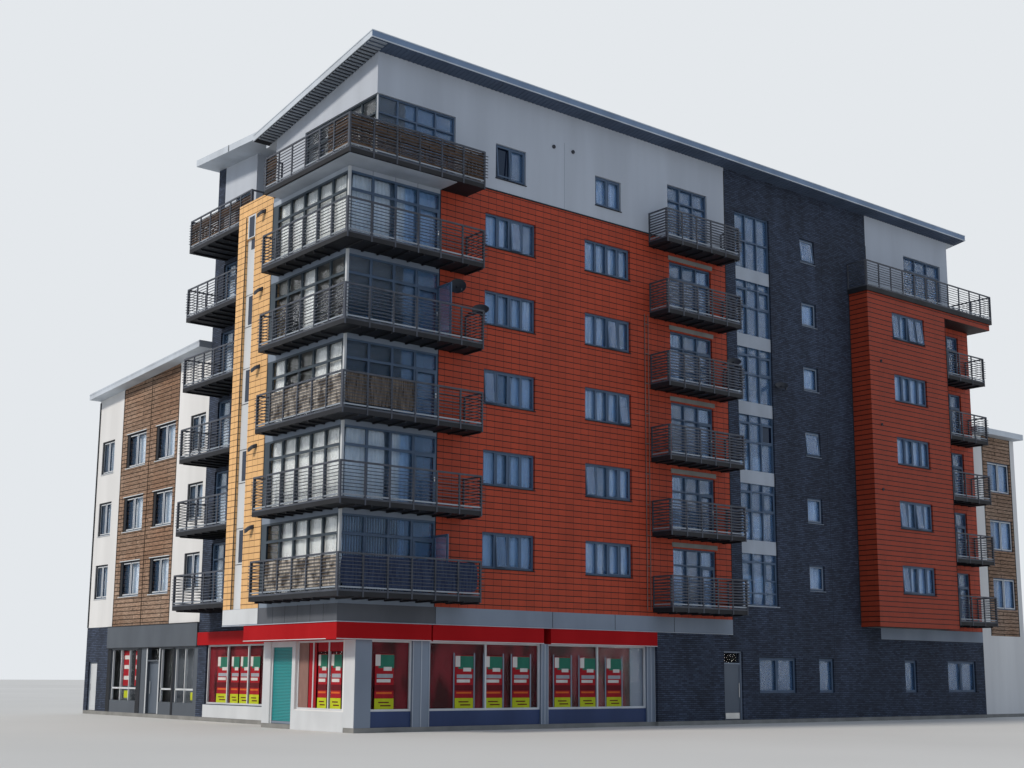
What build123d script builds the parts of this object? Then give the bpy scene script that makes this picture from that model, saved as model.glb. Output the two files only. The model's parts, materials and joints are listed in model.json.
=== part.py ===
from build123d import *
import os
from math import radians, tan

os.makedirs("parts", exist_ok=True)

# Stations are measured from the street corner of the tall block: X along the long front,
# Y back along the side street, Z up from the pavement. The part's origin lies under the
# middle of the tall block, at the foot of the ground floor slab.

# storeys
STOREY = 2800
FIRST_FLOOR = 4250
LEVELS = 5
SLAB = 250
PLINTH = 150
SHOP_HEAD = 2850
BAND_FOOT = FIRST_FLOOR - 850
BAND_TOP = FIRST_FLOOR - 300
PENT_FLOOR = FIRST_FLOOR + LEVELS * STOREY
CLAD_TOP = PENT_FLOOR + 350
HEAD = 2280
RECESS_HEAD = 2480
SILL = 1060

# plan of the tall block
WALL = 350
BAY_FRONT = 3660
BAY_SIDE = 4630
BAY_POST = 310
CLAD_END = 17930
BRICK_END = CLAD_END + 8010
BOX_WIDE = 5760
BOX_END = BRICK_END + BOX_WIDE
BOX_OUT = 975
BOX_FOOT = FIRST_FLOOR - 370
BOX_BAND = BRICK_END + 1360
END_X = BOX_END + 3300
OCHRE_END = BAY_SIDE + 2820
RECESS_LONG = 5750
BACK_Y = OCHRE_END + RECESS_LONG
RECESS_X = 2000
BRICK_PIER = 600
ORIGIN_X = END_X / 2
ORIGIN_Y = BACK_Y / 2

# punched windows and doors of the long front
FRONT_WINDOWS = ((BAY_FRONT + 1950, BAY_FRONT + 4240), (BAY_FRONT + 6610, BAY_FRONT + 8910))
FRONT_DOOR = (CLAD_END - 3230, CLAD_END - 870)
BOX_WINDOW = (BRICK_END + 1720, BRICK_END + 4120)
STAIR_STRIP = (CLAD_END + 620, CLAD_END + 2750)
STAIR_FOOT = FIRST_FLOOR + 290
STAIR_TOP = PENT_FLOOR + 2400
SMALL_WINDOW = (BRICK_END - 3280, BRICK_END - 2310)
SMALL_SILL = 1020
SMALL_HEAD = 2070
RECESS_DOOR = (BACK_Y - 3300, BACK_Y - 760)
OCHRE_SLOT = (OCHRE_END - 1250, OCHRE_END - 600)

# frames and glass
FRAME = 70
BAR = 60
GLASS = 24
REVEAL = 80
BAY_HEAD = 2480
TRANSOM = 620
WIDE_LIGHT = 1500
WIDE_SHOP = 2000

# balconies
DECK = 150
RAIL_H = 1180
RAIL_T = 40
RAIL_BAR = 60
RAIL_PITCH = 900
CORNER_OUT_X = 680
CORNER_OUT_Y = 1030
CORNER_RUN_X = BAY_FRONT + 1140
CORNER_RUN_Y = BAY_SIDE - 230
MID_X = (CLAD_END - 4330, CLAD_END - 230)
MID_OUT = 1000
SIDE_OUT_X = 450
SIDE_END_Y = BACK_Y - 800
END_BALCONY_X = END_X - 300
TERRACE_X = (BRICK_END - 90, END_X + 500)
TERRACE_OUT = BOX_OUT + 75
TERRACE_BACK = 3000
TERRACE_DECK = 200
BOX_TOP = CLAD_TOP - TERRACE_DECK
CANOPY = 300
CANOPY_END = TERRACE_X[1] - 120

# penthouse and roofs
PENT_X = 1000
PENT_END = END_X - 1400
PENT_SIDE_END = 6700
PENT_BRICK_END = BRICK_END + 1320
PENT_HEAD = 2620
REAR_ROOM_Y = BACK_Y - 3200
RECESS_BACK_X = 3400
ROOF_T = 270
FRONT_EAVE_Y = -600
FRONT_EAVE_Z = PENT_FLOOR + 4190
FRONT_FALL = tan(radians(9))
ROOF_SPLIT = 7300
ROOF_LEFT = 350
ROOF_RIGHT = END_X - 700
REAR_LEFT = 1050
REAR_END = BACK_Y + 200
REAR_Z = PENT_FLOOR + 3520
REAR_RISE = tan(radians(3.5))

# ground floor of the tall block
SHOP_Y = 150
SHOP_X = 800
SHOP_END = CLAD_END - 4120
COLUMN_WIDE = (600, 670, 320, 410)
COLUMNS = ((SHOP_X, SHOP_X + COLUMN_WIDE[0]), (BAY_FRONT - 690, BAY_FRONT - 690 + COLUMN_WIDE[1]),
           (BAY_FRONT + 4680, BAY_FRONT + 4680 + COLUMN_WIDE[2]),
           (SHOP_END - COLUMN_WIDE[3], SHOP_END))
COLUMN_DEEP = 600
STALL = 650
SHUTTER = (3970, 5370)
SIDE_WINDOW = (850, 3740)
SHOP_BACK = 5900
SETBACK_WINDOW = (OCHRE_END + 250, BACK_Y - 700)
GROUND_WINDOWS = ((CLAD_END + 1480, CLAD_END + 3700), (CLAD_END + 5150, CLAD_END + 6110),
                  (BRICK_END + 2960, BRICK_END + 3830), (BOX_END + 400, BOX_END + 2590))
GROUND_SILL = 1160
GROUND_HEAD = 2530
DOORWAY = (CLAD_END - 540, CLAD_END + 520)
DOOR_HEAD = 2750
LEAF_HEAD = 2250
LEAF_T = 50
CLEAR = 8
HANDLE_SILL = 1060

# hinges of the street doors
PIN_R = 8
KNUCKLE = 100
PIN_GAP = 0.3
HINGE_PLATE = 3
HINGE_WIDE = 40
HINGE_RISE = 300

# side wing
WING_X = RECESS_X + 10000
WING_END = BACK_Y + 10900
WING_LEVELS = 3
TIMBER = (BACK_Y + 2720, BACK_Y + 8210)
WING_TOP = FIRST_FLOOR + WING_LEVELS * STOREY
WING_EAVE = WING_TOP + 1430
WING_RISE = tan(radians(3))
WING_OUT = 550
WING_HEAD = 2250
WING_SILL = 750
WING_WINDOWS = ((BACK_Y + 240, BACK_Y + 1560), (TIMBER[0] + 230, TIMBER[0] + 2050),
                (TIMBER[1] - 2450, TIMBER[1] - 500), (WING_END - 1840, WING_END - 510))
WING_SHOP_HEAD = 2800
WING_FASCIA_TOP = FIRST_FLOOR - 500
WING_SHOP_END = BACK_Y + 8500
WING_SHOP_DOOR = (BACK_Y + 3400, BACK_Y + 4500)
WING_BAYS = ((BACK_Y + 300, BACK_Y + 2000), (BACK_Y + 2200, BACK_Y + 3300),
             (BACK_Y + 5500, BACK_Y + 8100))
WING_END_DOOR = (WING_END - 1300, WING_END - 350)
PARTY_WALL = 250
WING_DOOR_HEAD = 2250

# stub of the far wing
FAR_END = END_X + 4000
FAR_Y = 300
FAR_BACK = 9500
FAR_TOP = WING_TOP + 650
FAR_TIMBER = (END_X + 1200, END_X + 3600)

# glazed doors, penthouse windows and the plain rear
END_DOOR = (BOX_END + 150, BOX_END + 2500)
PENT_WINDOWS = ((BAY_FRONT + 2390, BAY_FRONT + 3780, 850, 2130),
                (BAY_FRONT + 7150, BAY_FRONT + 8480, 910, 2070))
PENT_DOOR = (CLAD_END - 3280, CLAD_END - 1030)
PENT_GLAZING = 4270
TERRACE_DOOR = (BOX_END - 1600, BOX_END + 1300)
REAR_ROOM_DOOR = (REAR_ROOM_Y + 450, REAR_ROOM_Y + 1650)
REAR_WINDOWS = ((14000, 15800), (20000, 21800), (26000, 27800), (31000, 32800))
FAR_WINDOW = (FAR_TIMBER[0] + 400, FAR_TIMBER[1] - 100)
STAIR_SILL = 500
STAIR_PANEL = 360
STAIR_RAIL = 1240


def front(y):
    """Elevation facing the main road: local x is the X station, local y is height."""
    return Plane(origin=(-ORIGIN_X, y - ORIGIN_Y, 0), x_dir=(1, 0, 0), z_dir=(0, -1, 0))


def side(x):
    """Elevation of the side street: local x is the Y station, local y is height."""
    return Plane(origin=(x - ORIGIN_X, -ORIGIN_Y, 0), x_dir=(0, 1, 0), z_dir=(1, 0, 0))


def plan(z):
    return Plane(origin=(-ORIGIN_X, -ORIGIN_Y, z))


def area(x0, x1, z0, z1, mode=Mode.ADD):
    """Rectangle between two stations and two heights."""
    with Locations(((x0 + x1) / 2, (z0 + z1) / 2)):
        Rectangle(x1 - x0, z1 - z0, mode=mode)


def outline(*points, mode=Mode.ADD):
    Polygon(*points, align=None, mode=mode)


def lights(x0, x1, z0, z1, columns, rows):
    """Window frame: outer rectangle less a grid of lights; rows are heights of the transoms."""
    area(x0, x1, z0, z1)
    wide = (x1 - x0 - BAR) / columns
    edges = [z0] + list(rows) + [z1]
    for foot, top in zip(edges[:-1], edges[1:]):
        low = foot + (BAR if foot == z0 else BAR / 2)
        high = top - (BAR if top == z1 else BAR / 2)
        for column in range(columns):
            left = x0 + BAR + column * wide
            area(left, left + wide - BAR, low, high, mode=Mode.SUBTRACT)


def railing(x0, x1, foot):
    """Flat balcony side: top and bottom rail with posts between."""
    bays = max(1, round((x1 - x0) / RAIL_PITCH))
    area(x0, x1, foot, foot + RAIL_H)
    wide = (x1 - x0 - RAIL_BAR) / bays
    for bay in range(bays):
        left = x0 + RAIL_BAR + bay * wide
        area(left, left + wide - RAIL_BAR, foot + RAIL_BAR, foot + RAIL_H - RAIL_BAR,
             mode=Mode.SUBTRACT)


def floor_level(storey):
    return FIRST_FLOOR + storey * STOREY


def front_soffit(y):
    return FRONT_EAVE_Z - FRONT_FALL * (y - FRONT_EAVE_Y)


def rear_soffit(y):
    return REAR_Z + REAR_RISE * (y - ROOF_SPLIT)


def wing_soffit(y):
    return WING_EAVE + WING_RISE * (WING_END - y)


SKY = PENT_FLOOR + 7750
ROOF_REACH = 3000
ROOF_RUN = 45000


# everything over the undersides of the two roofs of the tall block, for trimming wall heads
with BuildSketch(side(-ROOF_REACH)) as over_roofs:
    outline((-ROOF_REACH, front_soffit(-ROOF_REACH)), (ROOF_SPLIT, front_soffit(ROOF_SPLIT)),
            (ROOF_SPLIT + ROOF_T, front_soffit(ROOF_SPLIT)),
            (ROOF_SPLIT + ROOF_T, rear_soffit(ROOF_SPLIT + ROOF_T)),
            (WING_END, rear_soffit(WING_END)), (WING_END, SKY), (-ROOF_REACH, SKY))

# floors
with BuildPart() as ground_slab:
    with BuildSketch(plan(0)):
        outline((SHOP_X, SHOP_Y), (SHOP_END, SHOP_Y), (SHOP_END, 0), (END_X, 0), (END_X, FAR_Y),
                (FAR_END, FAR_Y), (FAR_END, FAR_BACK), (END_X, FAR_BACK), (END_X, BACK_Y),
                (WING_X, BACK_Y), (WING_X, WING_END), (RECESS_X, WING_END),
                (RECESS_X, SHOP_BACK), (SHOP_X, SHOP_BACK))
    extrude(amount=PLINTH)

with BuildPart() as upper_floors:
    for storey in range(LEVELS + 1):
        with BuildSketch(plan(floor_level(storey) - SLAB)):
            outline((SHOP_Y, SHOP_Y), (BAY_FRONT, SHOP_Y), (BAY_FRONT, WALL),
                    (BRICK_END + WALL, WALL), (BRICK_END + WALL, WALL - BOX_OUT),
                    (BOX_END - WALL, WALL - BOX_OUT), (BOX_END - WALL, WALL),
                    (END_X - WALL, WALL), (END_X - WALL, BACK_Y - WALL),
                    (RECESS_X + WALL, BACK_Y - WALL), (RECESS_X + WALL, OCHRE_END - WALL),
                    (WALL, OCHRE_END - WALL), (WALL, BAY_SIDE + BAY_POST),
                    (SHOP_Y, BAY_SIDE + BAY_POST))
        extrude(amount=SLAB)

with BuildPart() as wing_floors:
    for storey in range(WING_LEVELS):
        with BuildSketch(plan(floor_level(storey) - SLAB)):
            area(RECESS_X + WALL, WING_X - WALL, BACK_Y, WING_END - PARTY_WALL)
            area(END_X, FAR_END - WALL, FAR_Y + WALL, FAR_BACK - WALL)
        extrude(amount=SLAB)

with BuildPart() as soffits:
    with BuildSketch(plan(BAND_FOOT)):
        area(WALL, RECESS_X, SHOP_BACK, OCHRE_END - WALL)
    extrude(amount=BAR)
    with BuildSketch(plan(BOX_FOOT)):
        area(BRICK_END + WALL, BOX_END - WALL, WALL - BOX_OUT, WALL)
    extrude(amount=FIRST_FLOOR - SLAB - BOX_FOOT)

# shopfront of the ground floor
with BuildPart() as shop_columns:
    with BuildSketch(plan(PLINTH)):
        for left, right in COLUMNS:
            area(left, right, SHOP_Y, SHOP_Y + COLUMN_DEEP)
    extrude(amount=SHOP_HEAD - PLINTH)

with BuildPart() as shop_fascia:
    with BuildSketch(front(0)):
        for left, right in ((0, COLUMNS[1][1] - BAR), (COLUMNS[1][1], COLUMNS[2][0]),
                            (COLUMNS[2][1], SHOP_END)):
            area(left, right, SHOP_HEAD, BAND_FOOT)
    extrude(amount=-COLUMN_DEEP)
    with BuildSketch(side(RECESS_X - REVEAL)):
        area(SHOP_BACK + BAR, BACK_Y - BAR, SHOP_HEAD, BAND_FOOT - BAR)
    extrude(amount=REVEAL)

with BuildPart() as side_fascia:
    with BuildSketch(plan(SHOP_HEAD)):
        outline((0, COLUMN_DEEP), (0, SHOP_BACK), (RECESS_X, SHOP_BACK),
                (RECESS_X, SHOP_BACK - WALL), (SHOP_X + WALL, SHOP_BACK - WALL),
                (SHOP_X + WALL, COLUMN_DEEP))
    extrude(amount=BAND_FOOT - SHOP_HEAD)

BAYS = list(zip([pair[1] for pair in COLUMNS[:-1]], [pair[0] for pair in COLUMNS[1:]]))
with BuildPart() as shopfront_frames:
    with BuildSketch(front(SHOP_Y + REVEAL)):
        for left, right in BAYS:
            lights(left, right, STALL, SHOP_HEAD, 1 if right - left < WIDE_SHOP else 2, ())
            area(left, right, PLINTH, STALL)
    extrude(amount=-FRAME)
    with BuildSketch(side(SHOP_X + REVEAL)):
        lights(SIDE_WINDOW[0], SIDE_WINDOW[1], STALL, SHOP_HEAD, 3, ())
    extrude(amount=FRAME)
    with BuildSketch(side(RECESS_X + REVEAL)):
        lights(SETBACK_WINDOW[0], SETBACK_WINDOW[1], STALL, SHOP_HEAD, 3, ())
    extrude(amount=FRAME)

with BuildPart() as shop_glass:
    with BuildSketch(front(SHOP_Y + REVEAL + FRAME)):
        for left, right in BAYS:
            area(left, right, STALL, SHOP_HEAD)
    extrude(amount=-GLASS)
    with BuildSketch(side(SHOP_X + REVEAL + FRAME)):
        area(SIDE_WINDOW[0], SIDE_WINDOW[1], STALL, SHOP_HEAD)
    extrude(amount=GLASS)
    with BuildSketch(side(RECESS_X + REVEAL + FRAME)):
        area(SETBACK_WINDOW[0], SETBACK_WINDOW[1], STALL, SHOP_HEAD)
    extrude(amount=GLASS)
    with BuildSketch(front(REVEAL + FRAME)):
        area(DOORWAY[0], DOORWAY[1], LEAF_HEAD + BAR / 2, DOOR_HEAD)
    extrude(amount=-GLASS)
    with BuildSketch(side(RECESS_X + WALL / 2)):
        for near, far in WING_BAYS:
            area(near, far, STALL, WING_SHOP_HEAD - BAR)
        area(WING_SHOP_DOOR[0] + CLEAR, WING_SHOP_DOOR[1] - CLEAR, WING_DOOR_HEAD + BAR,
             WING_SHOP_HEAD)
    extrude(amount=GLASS)

with BuildPart() as shop_side_wall:
    with BuildSketch(plan(PLINTH)):
        outline((SHOP_X, SHOP_Y + COLUMN_DEEP), (SHOP_X, SHOP_BACK), (RECESS_X, SHOP_BACK),
                (RECESS_X, SHOP_BACK - WALL), (SHOP_X + WALL, SHOP_BACK - WALL),
                (SHOP_X + WALL, SHOP_Y + COLUMN_DEEP))
    extrude(amount=SHOP_HEAD - PLINTH)
    with BuildSketch(side(SHOP_X)):
        area(SIDE_WINDOW[0], SIDE_WINDOW[1], STALL, SHOP_HEAD)
        area(SHUTTER[0], SHUTTER[1], PLINTH, SHOP_HEAD)
    extrude(amount=WALL, mode=Mode.SUBTRACT)

with BuildPart() as roller_shutter:
    with BuildSketch(side(SHOP_X + REVEAL)):
        area(SHUTTER[0], SHUTTER[1], PLINTH, SHOP_HEAD)
    extrude(amount=FRAME)

# band between the shops and the cladding
with BuildPart() as string_band:
    with BuildSketch(plan(BAND_FOOT)):
        outline((0, 0), (CLAD_END, 0), (CLAD_END, WALL), (WALL, WALL), (WALL, OCHRE_END - WALL),
                (RECESS_X, OCHRE_END - WALL), (RECESS_X, OCHRE_END), (0, OCHRE_END))
    extrude(amount=BAND_TOP - BAND_FOOT)
    with BuildSketch(front(0)):
        area(BOX_BAND, END_X, BAND_FOOT, BOX_FOOT)
    extrude(amount=-WALL)

# brick at street level, either side of the doorways
with BuildPart() as ground_brick_walls:
    with BuildSketch(front(0)):
        area(SHOP_END, DOORWAY[0], PLINTH, BAND_FOOT)
        area(DOORWAY[1], END_X, PLINTH, BAND_FOOT)
        area(BRICK_END, BOX_BAND, BAND_FOOT, BOX_FOOT)
        for left, right in GROUND_WINDOWS:
            area(left, right, GROUND_SILL, GROUND_HEAD, mode=Mode.SUBTRACT)
    extrude(amount=-WALL)
    with BuildSketch(side(RECESS_X)):
        area(WING_SHOP_END, WING_END_DOOR[0], PLINTH, WING_FASCIA_TOP)
        area(WING_END_DOOR[1], WING_END, PLINTH, WING_FASCIA_TOP)
    extrude(amount=WALL)

with BuildPart() as door_lintels:
    with BuildSketch(front(0)):
        area(DOORWAY[0], DOORWAY[1], DOOR_HEAD, BAND_FOOT)
    extrude(amount=-WALL)
    with BuildSketch(side(RECESS_X)):
        area(WING_END_DOOR[0], WING_END_DOOR[1], WING_DOOR_HEAD, WING_FASCIA_TOP)
    extrude(amount=WALL)

LEAF_FOOT = PLINTH + 2 * CLEAR
HINGES = (LEAF_FOOT + HINGE_RISE, WING_DOOR_HEAD - 2 * HINGE_RISE)
INNER = REVEAL + FRAME


def knuckle(x, y, left, right, near, far):
    """Barrel of a hinge round its pin, with the plate that screws to leaf or jamb."""
    with Locations((x, y)):
        Circle(PIN_R)
    area(left, right, near, far)


# street doors: each leaf closes flush with the back of its frame and turns on its pins
ENTRANCE_PIN = (DOORWAY[0] + BAR + CLEAR / 2, INNER + PIN_R)
END_PIN = (RECESS_X + INNER + PIN_R, WING_END_DOOR[0] + BAR + CLEAR / 2)
SHOP_PIN = (RECESS_X + WALL / 2 + PIN_R, WING_SHOP_DOOR[0] + CLEAR / 2)
with BuildPart() as door_frames:
    with BuildSketch(front(REVEAL)):
        area(DOORWAY[0], DOORWAY[1], PLINTH, DOOR_HEAD)
        area(DOORWAY[0] + BAR, DOORWAY[1] - BAR, PLINTH, LEAF_HEAD, mode=Mode.SUBTRACT)
        area(DOORWAY[0] + BAR, DOORWAY[1] - BAR, LEAF_HEAD + BAR, DOOR_HEAD - BAR,
             mode=Mode.SUBTRACT)
    extrude(amount=-FRAME)
    with BuildSketch(side(RECESS_X + REVEAL)):
        area(WING_END_DOOR[0], WING_END_DOOR[1], PLINTH, WING_DOOR_HEAD)
        area(WING_END_DOOR[0] + BAR, WING_END_DOOR[1] - BAR, PLINTH, WING_DOOR_HEAD - BAR,
             mode=Mode.SUBTRACT)
    extrude(amount=FRAME)
    for foot in HINGES:
        with BuildSketch(plan(foot + KNUCKLE + PIN_GAP)):
            x, y = ENTRANCE_PIN
            knuckle(x, y, x - HINGE_WIDE, x, INNER, INNER + HINGE_PLATE)
            x, y = END_PIN
            knuckle(x, y, x - PIN_R, x - PIN_R + HINGE_PLATE, y - HINGE_WIDE, y)
        extrude(amount=KNUCKLE)

DOOR_L = DOORWAY[0] + BAR + CLEAR
DOOR_R = DOORWAY[1] - BAR - CLEAR
with BuildPart() as entrance_door:
    with BuildSketch(front(INNER - LEAF_T)):
        lights(DOOR_L, DOOR_R, LEAF_FOOT, LEAF_HEAD - CLEAR, 1, (PLINTH + HANDLE_SILL,))
    extrude(amount=-LEAF_T)
    with BuildSketch(front(INNER - LEAF_T / 2)):
        area(DOOR_L + BAR, DOOR_R - BAR, LEAF_FOOT + BAR, LEAF_HEAD - CLEAR - BAR)
    extrude(amount=-GLASS / 2, both=True)
    for foot in HINGES:
        with BuildSketch(plan(foot)):
            x, y = ENTRANCE_PIN
            knuckle(x, y, x, x + HINGE_WIDE, INNER, INNER + HINGE_PLATE)
        extrude(amount=KNUCKLE)

# glazed corner bay
STILE = BAY_POST - BAR
with BuildPart() as bay_front_frames:
    with BuildSketch(front(0)):
        for storey in range(LEVELS):
            foot = floor_level(storey)
            lights(0, BAY_FRONT, foot, foot + BAY_HEAD, 4, (foot + BAY_HEAD - TRANSOM,))
    extrude(amount=-FRAME)
    with BuildSketch(front(REVEAL)):
        lights(PENT_X + REVEAL, PENT_GLAZING, PENT_FLOOR, PENT_FLOOR + PENT_HEAD, 4,
               (PENT_FLOOR + PENT_HEAD - TRANSOM,))
    extrude(amount=-FRAME)

with BuildPart() as bay_side_frames:
    with BuildSketch(side(0)):
        for storey in range(LEVELS):
            foot = floor_level(storey)
            lights(FRAME, BAY_SIDE, foot, foot + BAY_HEAD, 5, (foot + BAY_HEAD - TRANSOM,))
            area(BAY_SIDE, BAY_SIDE + BAY_POST, foot, foot + BAY_HEAD)
    extrude(amount=FRAME)
    with BuildSketch(side(PENT_X + REVEAL)):
        lights(REVEAL + FRAME, BAY_SIDE, PENT_FLOOR, PENT_FLOOR + PENT_HEAD, 5,
               (PENT_FLOOR + PENT_HEAD - TRANSOM,))
    extrude(amount=FRAME)

with BuildPart() as bay_front_glass:
    with BuildSketch(front(FRAME)):
        for storey in range(LEVELS):
            foot = floor_level(storey)
            area(FRAME, BAY_FRONT, foot, foot + BAY_HEAD)
    extrude(amount=-GLASS)
    with BuildSketch(front(REVEAL + FRAME)):
        area(PENT_X + REVEAL + FRAME, PENT_GLAZING, PENT_FLOOR, PENT_FLOOR + PENT_HEAD)
    extrude(amount=-GLASS)

with BuildPart() as bay_side_glass:
    with BuildSketch(side(FRAME)):
        for storey in range(LEVELS):
            foot = floor_level(storey)
            area(FRAME + GLASS, BAY_SIDE + BAY_POST, foot, foot + BAY_HEAD)
    extrude(amount=GLASS)
    with BuildSketch(side(PENT_X + REVEAL + FRAME)):
        area(REVEAL + FRAME + GLASS, BAY_SIDE, PENT_FLOOR, PENT_FLOOR + PENT_HEAD)
    extrude(amount=GLASS)

BAY_HEADS = [(BAND_TOP, FIRST_FLOOR)]
BAY_HEADS += [(floor_level(s) + BAY_HEAD, floor_level(s + 1)) for s in range(LEVELS)]
BAY_HEADS[-1] = (BAY_HEADS[-1][0], PENT_FLOOR)
with BuildPart() as bay_front_spandrels:
    with BuildSketch(front(0)):
        for foot, top in BAY_HEADS:
            area(0, BAY_FRONT, foot, top)
    extrude(amount=-SHOP_Y)

with BuildPart() as bay_side_spandrels:
    with BuildSketch(side(0)):
        for foot, top in BAY_HEADS:
            area(SHOP_Y, BAY_SIDE + BAY_POST, foot, top)
    extrude(amount=SHOP_Y)

# terracotta and brick of the long front
with BuildPart() as terracotta_wall:
    with BuildSketch(front(0)):
        area(BAY_FRONT, CLAD_END, BAND_TOP, CLAD_TOP)
        for storey in range(LEVELS):
            foot = floor_level(storey)
            for left, right in FRONT_WINDOWS:
                area(left, right, foot + SILL, foot + HEAD, mode=Mode.SUBTRACT)
            area(FRONT_DOOR[0], FRONT_DOOR[1], foot, foot + HEAD, mode=Mode.SUBTRACT)
        area(PENT_DOOR[0], PENT_DOOR[1], PENT_FLOOR, CLAD_TOP, mode=Mode.SUBTRACT)
        area(BAY_FRONT, PENT_GLAZING, PENT_FLOOR, CLAD_TOP, mode=Mode.SUBTRACT)
    extrude(amount=-WALL)

with BuildPart() as brick_wall:
    with BuildSketch(front(0)):
        outline((CLAD_END, BAND_FOOT), (BRICK_END, BAND_FOOT), (BRICK_END, BOX_TOP),
                (PENT_BRICK_END, BOX_TOP), (PENT_BRICK_END, SKY), (CLAD_END, SKY))
        area(BRICK_END + WALL, PENT_BRICK_END, PENT_FLOOR, BOX_TOP)
        area(STAIR_STRIP[0], STAIR_STRIP[1], STAIR_FOOT, STAIR_TOP, mode=Mode.SUBTRACT)
        for storey in range(LEVELS + 1):
            foot = floor_level(storey)
            area(SMALL_WINDOW[0], SMALL_WINDOW[1], foot + SMALL_SILL, foot + SMALL_HEAD,
                 mode=Mode.SUBTRACT)
    extrude(amount=-WALL)
    extrude(over_roofs.sketch, amount=ROOF_RUN, mode=Mode.SUBTRACT)

# projecting terracotta box, the canopy over the recess beside it, and the recess wall
with BuildPart() as box_walls:
    with BuildSketch(plan(BOX_FOOT)):
        outline((BRICK_END, -BOX_OUT), (BOX_END, -BOX_OUT), (BOX_END, WALL),
                (BOX_END - WALL, WALL), (BOX_END - WALL, WALL - BOX_OUT),
                (BRICK_END + WALL, WALL - BOX_OUT), (BRICK_END + WALL, WALL), (BRICK_END, WALL))
    extrude(amount=BOX_TOP - BOX_FOOT)
    with BuildSketch(front(-BOX_OUT)):
        for storey in range(LEVELS):
            foot = floor_level(storey)
            area(BOX_WINDOW[0], BOX_WINDOW[1], foot + SILL, foot + HEAD)
    extrude(amount=-WALL, mode=Mode.SUBTRACT)
    with BuildSketch(plan(BOX_TOP - CANOPY)):
        outline((BOX_END, -BOX_OUT), (CANOPY_END, -BOX_OUT), (CANOPY_END, TERRACE_BACK),
                (END_X, TERRACE_BACK), (END_X, 0), (BOX_END, 0))
    extrude(amount=CANOPY)

with BuildPart() as end_recess_wall:
    with BuildSketch(front(0)):
        area(BOX_END, END_X, BOX_FOOT, BOX_TOP)
        for storey in range(LEVELS):
            foot = floor_level(storey)
            area(END_DOOR[0], END_DOOR[1], foot, foot + HEAD, mode=Mode.SUBTRACT)
    extrude(amount=-WALL)

# every punched window of the tall block and its wings
PUNCHED = [(REVEAL, left, right, GROUND_SILL, GROUND_HEAD, 2 if right - left > WIDE_LIGHT else 1)
           for left, right in GROUND_WINDOWS]
for storey in range(LEVELS):
    foot = floor_level(storey)
    PUNCHED += [(REVEAL, left, right, foot + SILL, foot + HEAD, 4)
                for left, right in FRONT_WINDOWS]
    PUNCHED.append((REVEAL - BOX_OUT, BOX_WINDOW[0], BOX_WINDOW[1], foot + SILL, foot + HEAD, 4))
for storey in range(LEVELS + 1):
    foot = floor_level(storey)
    PUNCHED.append((REVEAL, SMALL_WINDOW[0], SMALL_WINDOW[1], foot + SMALL_SILL,
                    foot + SMALL_HEAD, 1))
PUNCHED += [(REVEAL, left, right, PENT_FLOOR + sill, PENT_FLOOR + head, 2)
            for left, right, sill, head in PENT_WINDOWS]
for storey in range(WING_LEVELS):
    foot = floor_level(storey)
    PUNCHED.append((FAR_Y + REVEAL, FAR_WINDOW[0], FAR_WINDOW[1], foot + WING_SILL,
                    foot + WING_HEAD, 2))

REAR = [(left, right, floor_level(storey) + SILL, floor_level(storey) + HEAD)
        for storey in range(LEVELS) for left, right in REAR_WINDOWS]
WING = [(near, far, floor_level(storey) + WING_SILL, floor_level(storey) + WING_HEAD)
        for storey in range(WING_LEVELS) for near, far in WING_WINDOWS]

with BuildPart() as window_frames:
    for depth, left, right, sill, head, columns in PUNCHED:
        with BuildSketch(front(depth)):
            lights(left, right, sill, head, columns, ())
        extrude(amount=-FRAME)
    with BuildSketch(front(REVEAL)):
        rows = [STAIR_FOOT + STAIR_SILL]
        for storey in range(1, LEVELS + 1):
            rows += [floor_level(storey) - STAIR_PANEL, floor_level(storey),
                     floor_level(storey) + STAIR_RAIL]
        lights(STAIR_STRIP[0], STAIR_STRIP[1], STAIR_FOOT, STAIR_TOP, 3, rows)
    extrude(amount=-FRAME)
    with BuildSketch(front(BACK_Y - REVEAL - FRAME)):
        for left, right, sill, head in REAR:
            lights(left, right, sill, head, 2, ())
    extrude(amount=-FRAME)
    with BuildSketch(side(RECESS_X + REVEAL)):
        for near, far, sill, head in WING:
            lights(near, far, sill, head, 2, ())
    extrude(amount=FRAME)

with BuildPart() as window_glass:
    for depth, left, right, sill, head, columns in PUNCHED:
        with BuildSketch(front(depth + FRAME)):
            area(left, right, sill, head)
        extrude(amount=-GLASS)
    with BuildSketch(front(REVEAL + FRAME)):
        area(STAIR_STRIP[0], STAIR_STRIP[1], STAIR_FOOT, STAIR_TOP)
    extrude(amount=-GLASS)
    with BuildSketch(front(BACK_Y - REVEAL - FRAME - GLASS)):
        for left, right, sill, head in REAR:
            area(left, right, sill, head)
    extrude(amount=-GLASS)
    with BuildSketch(side(RECESS_X + REVEAL + FRAME)):
        for near, far, sill, head in WING:
            area(near, far, sill, head)
    extrude(amount=GLASS)

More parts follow.
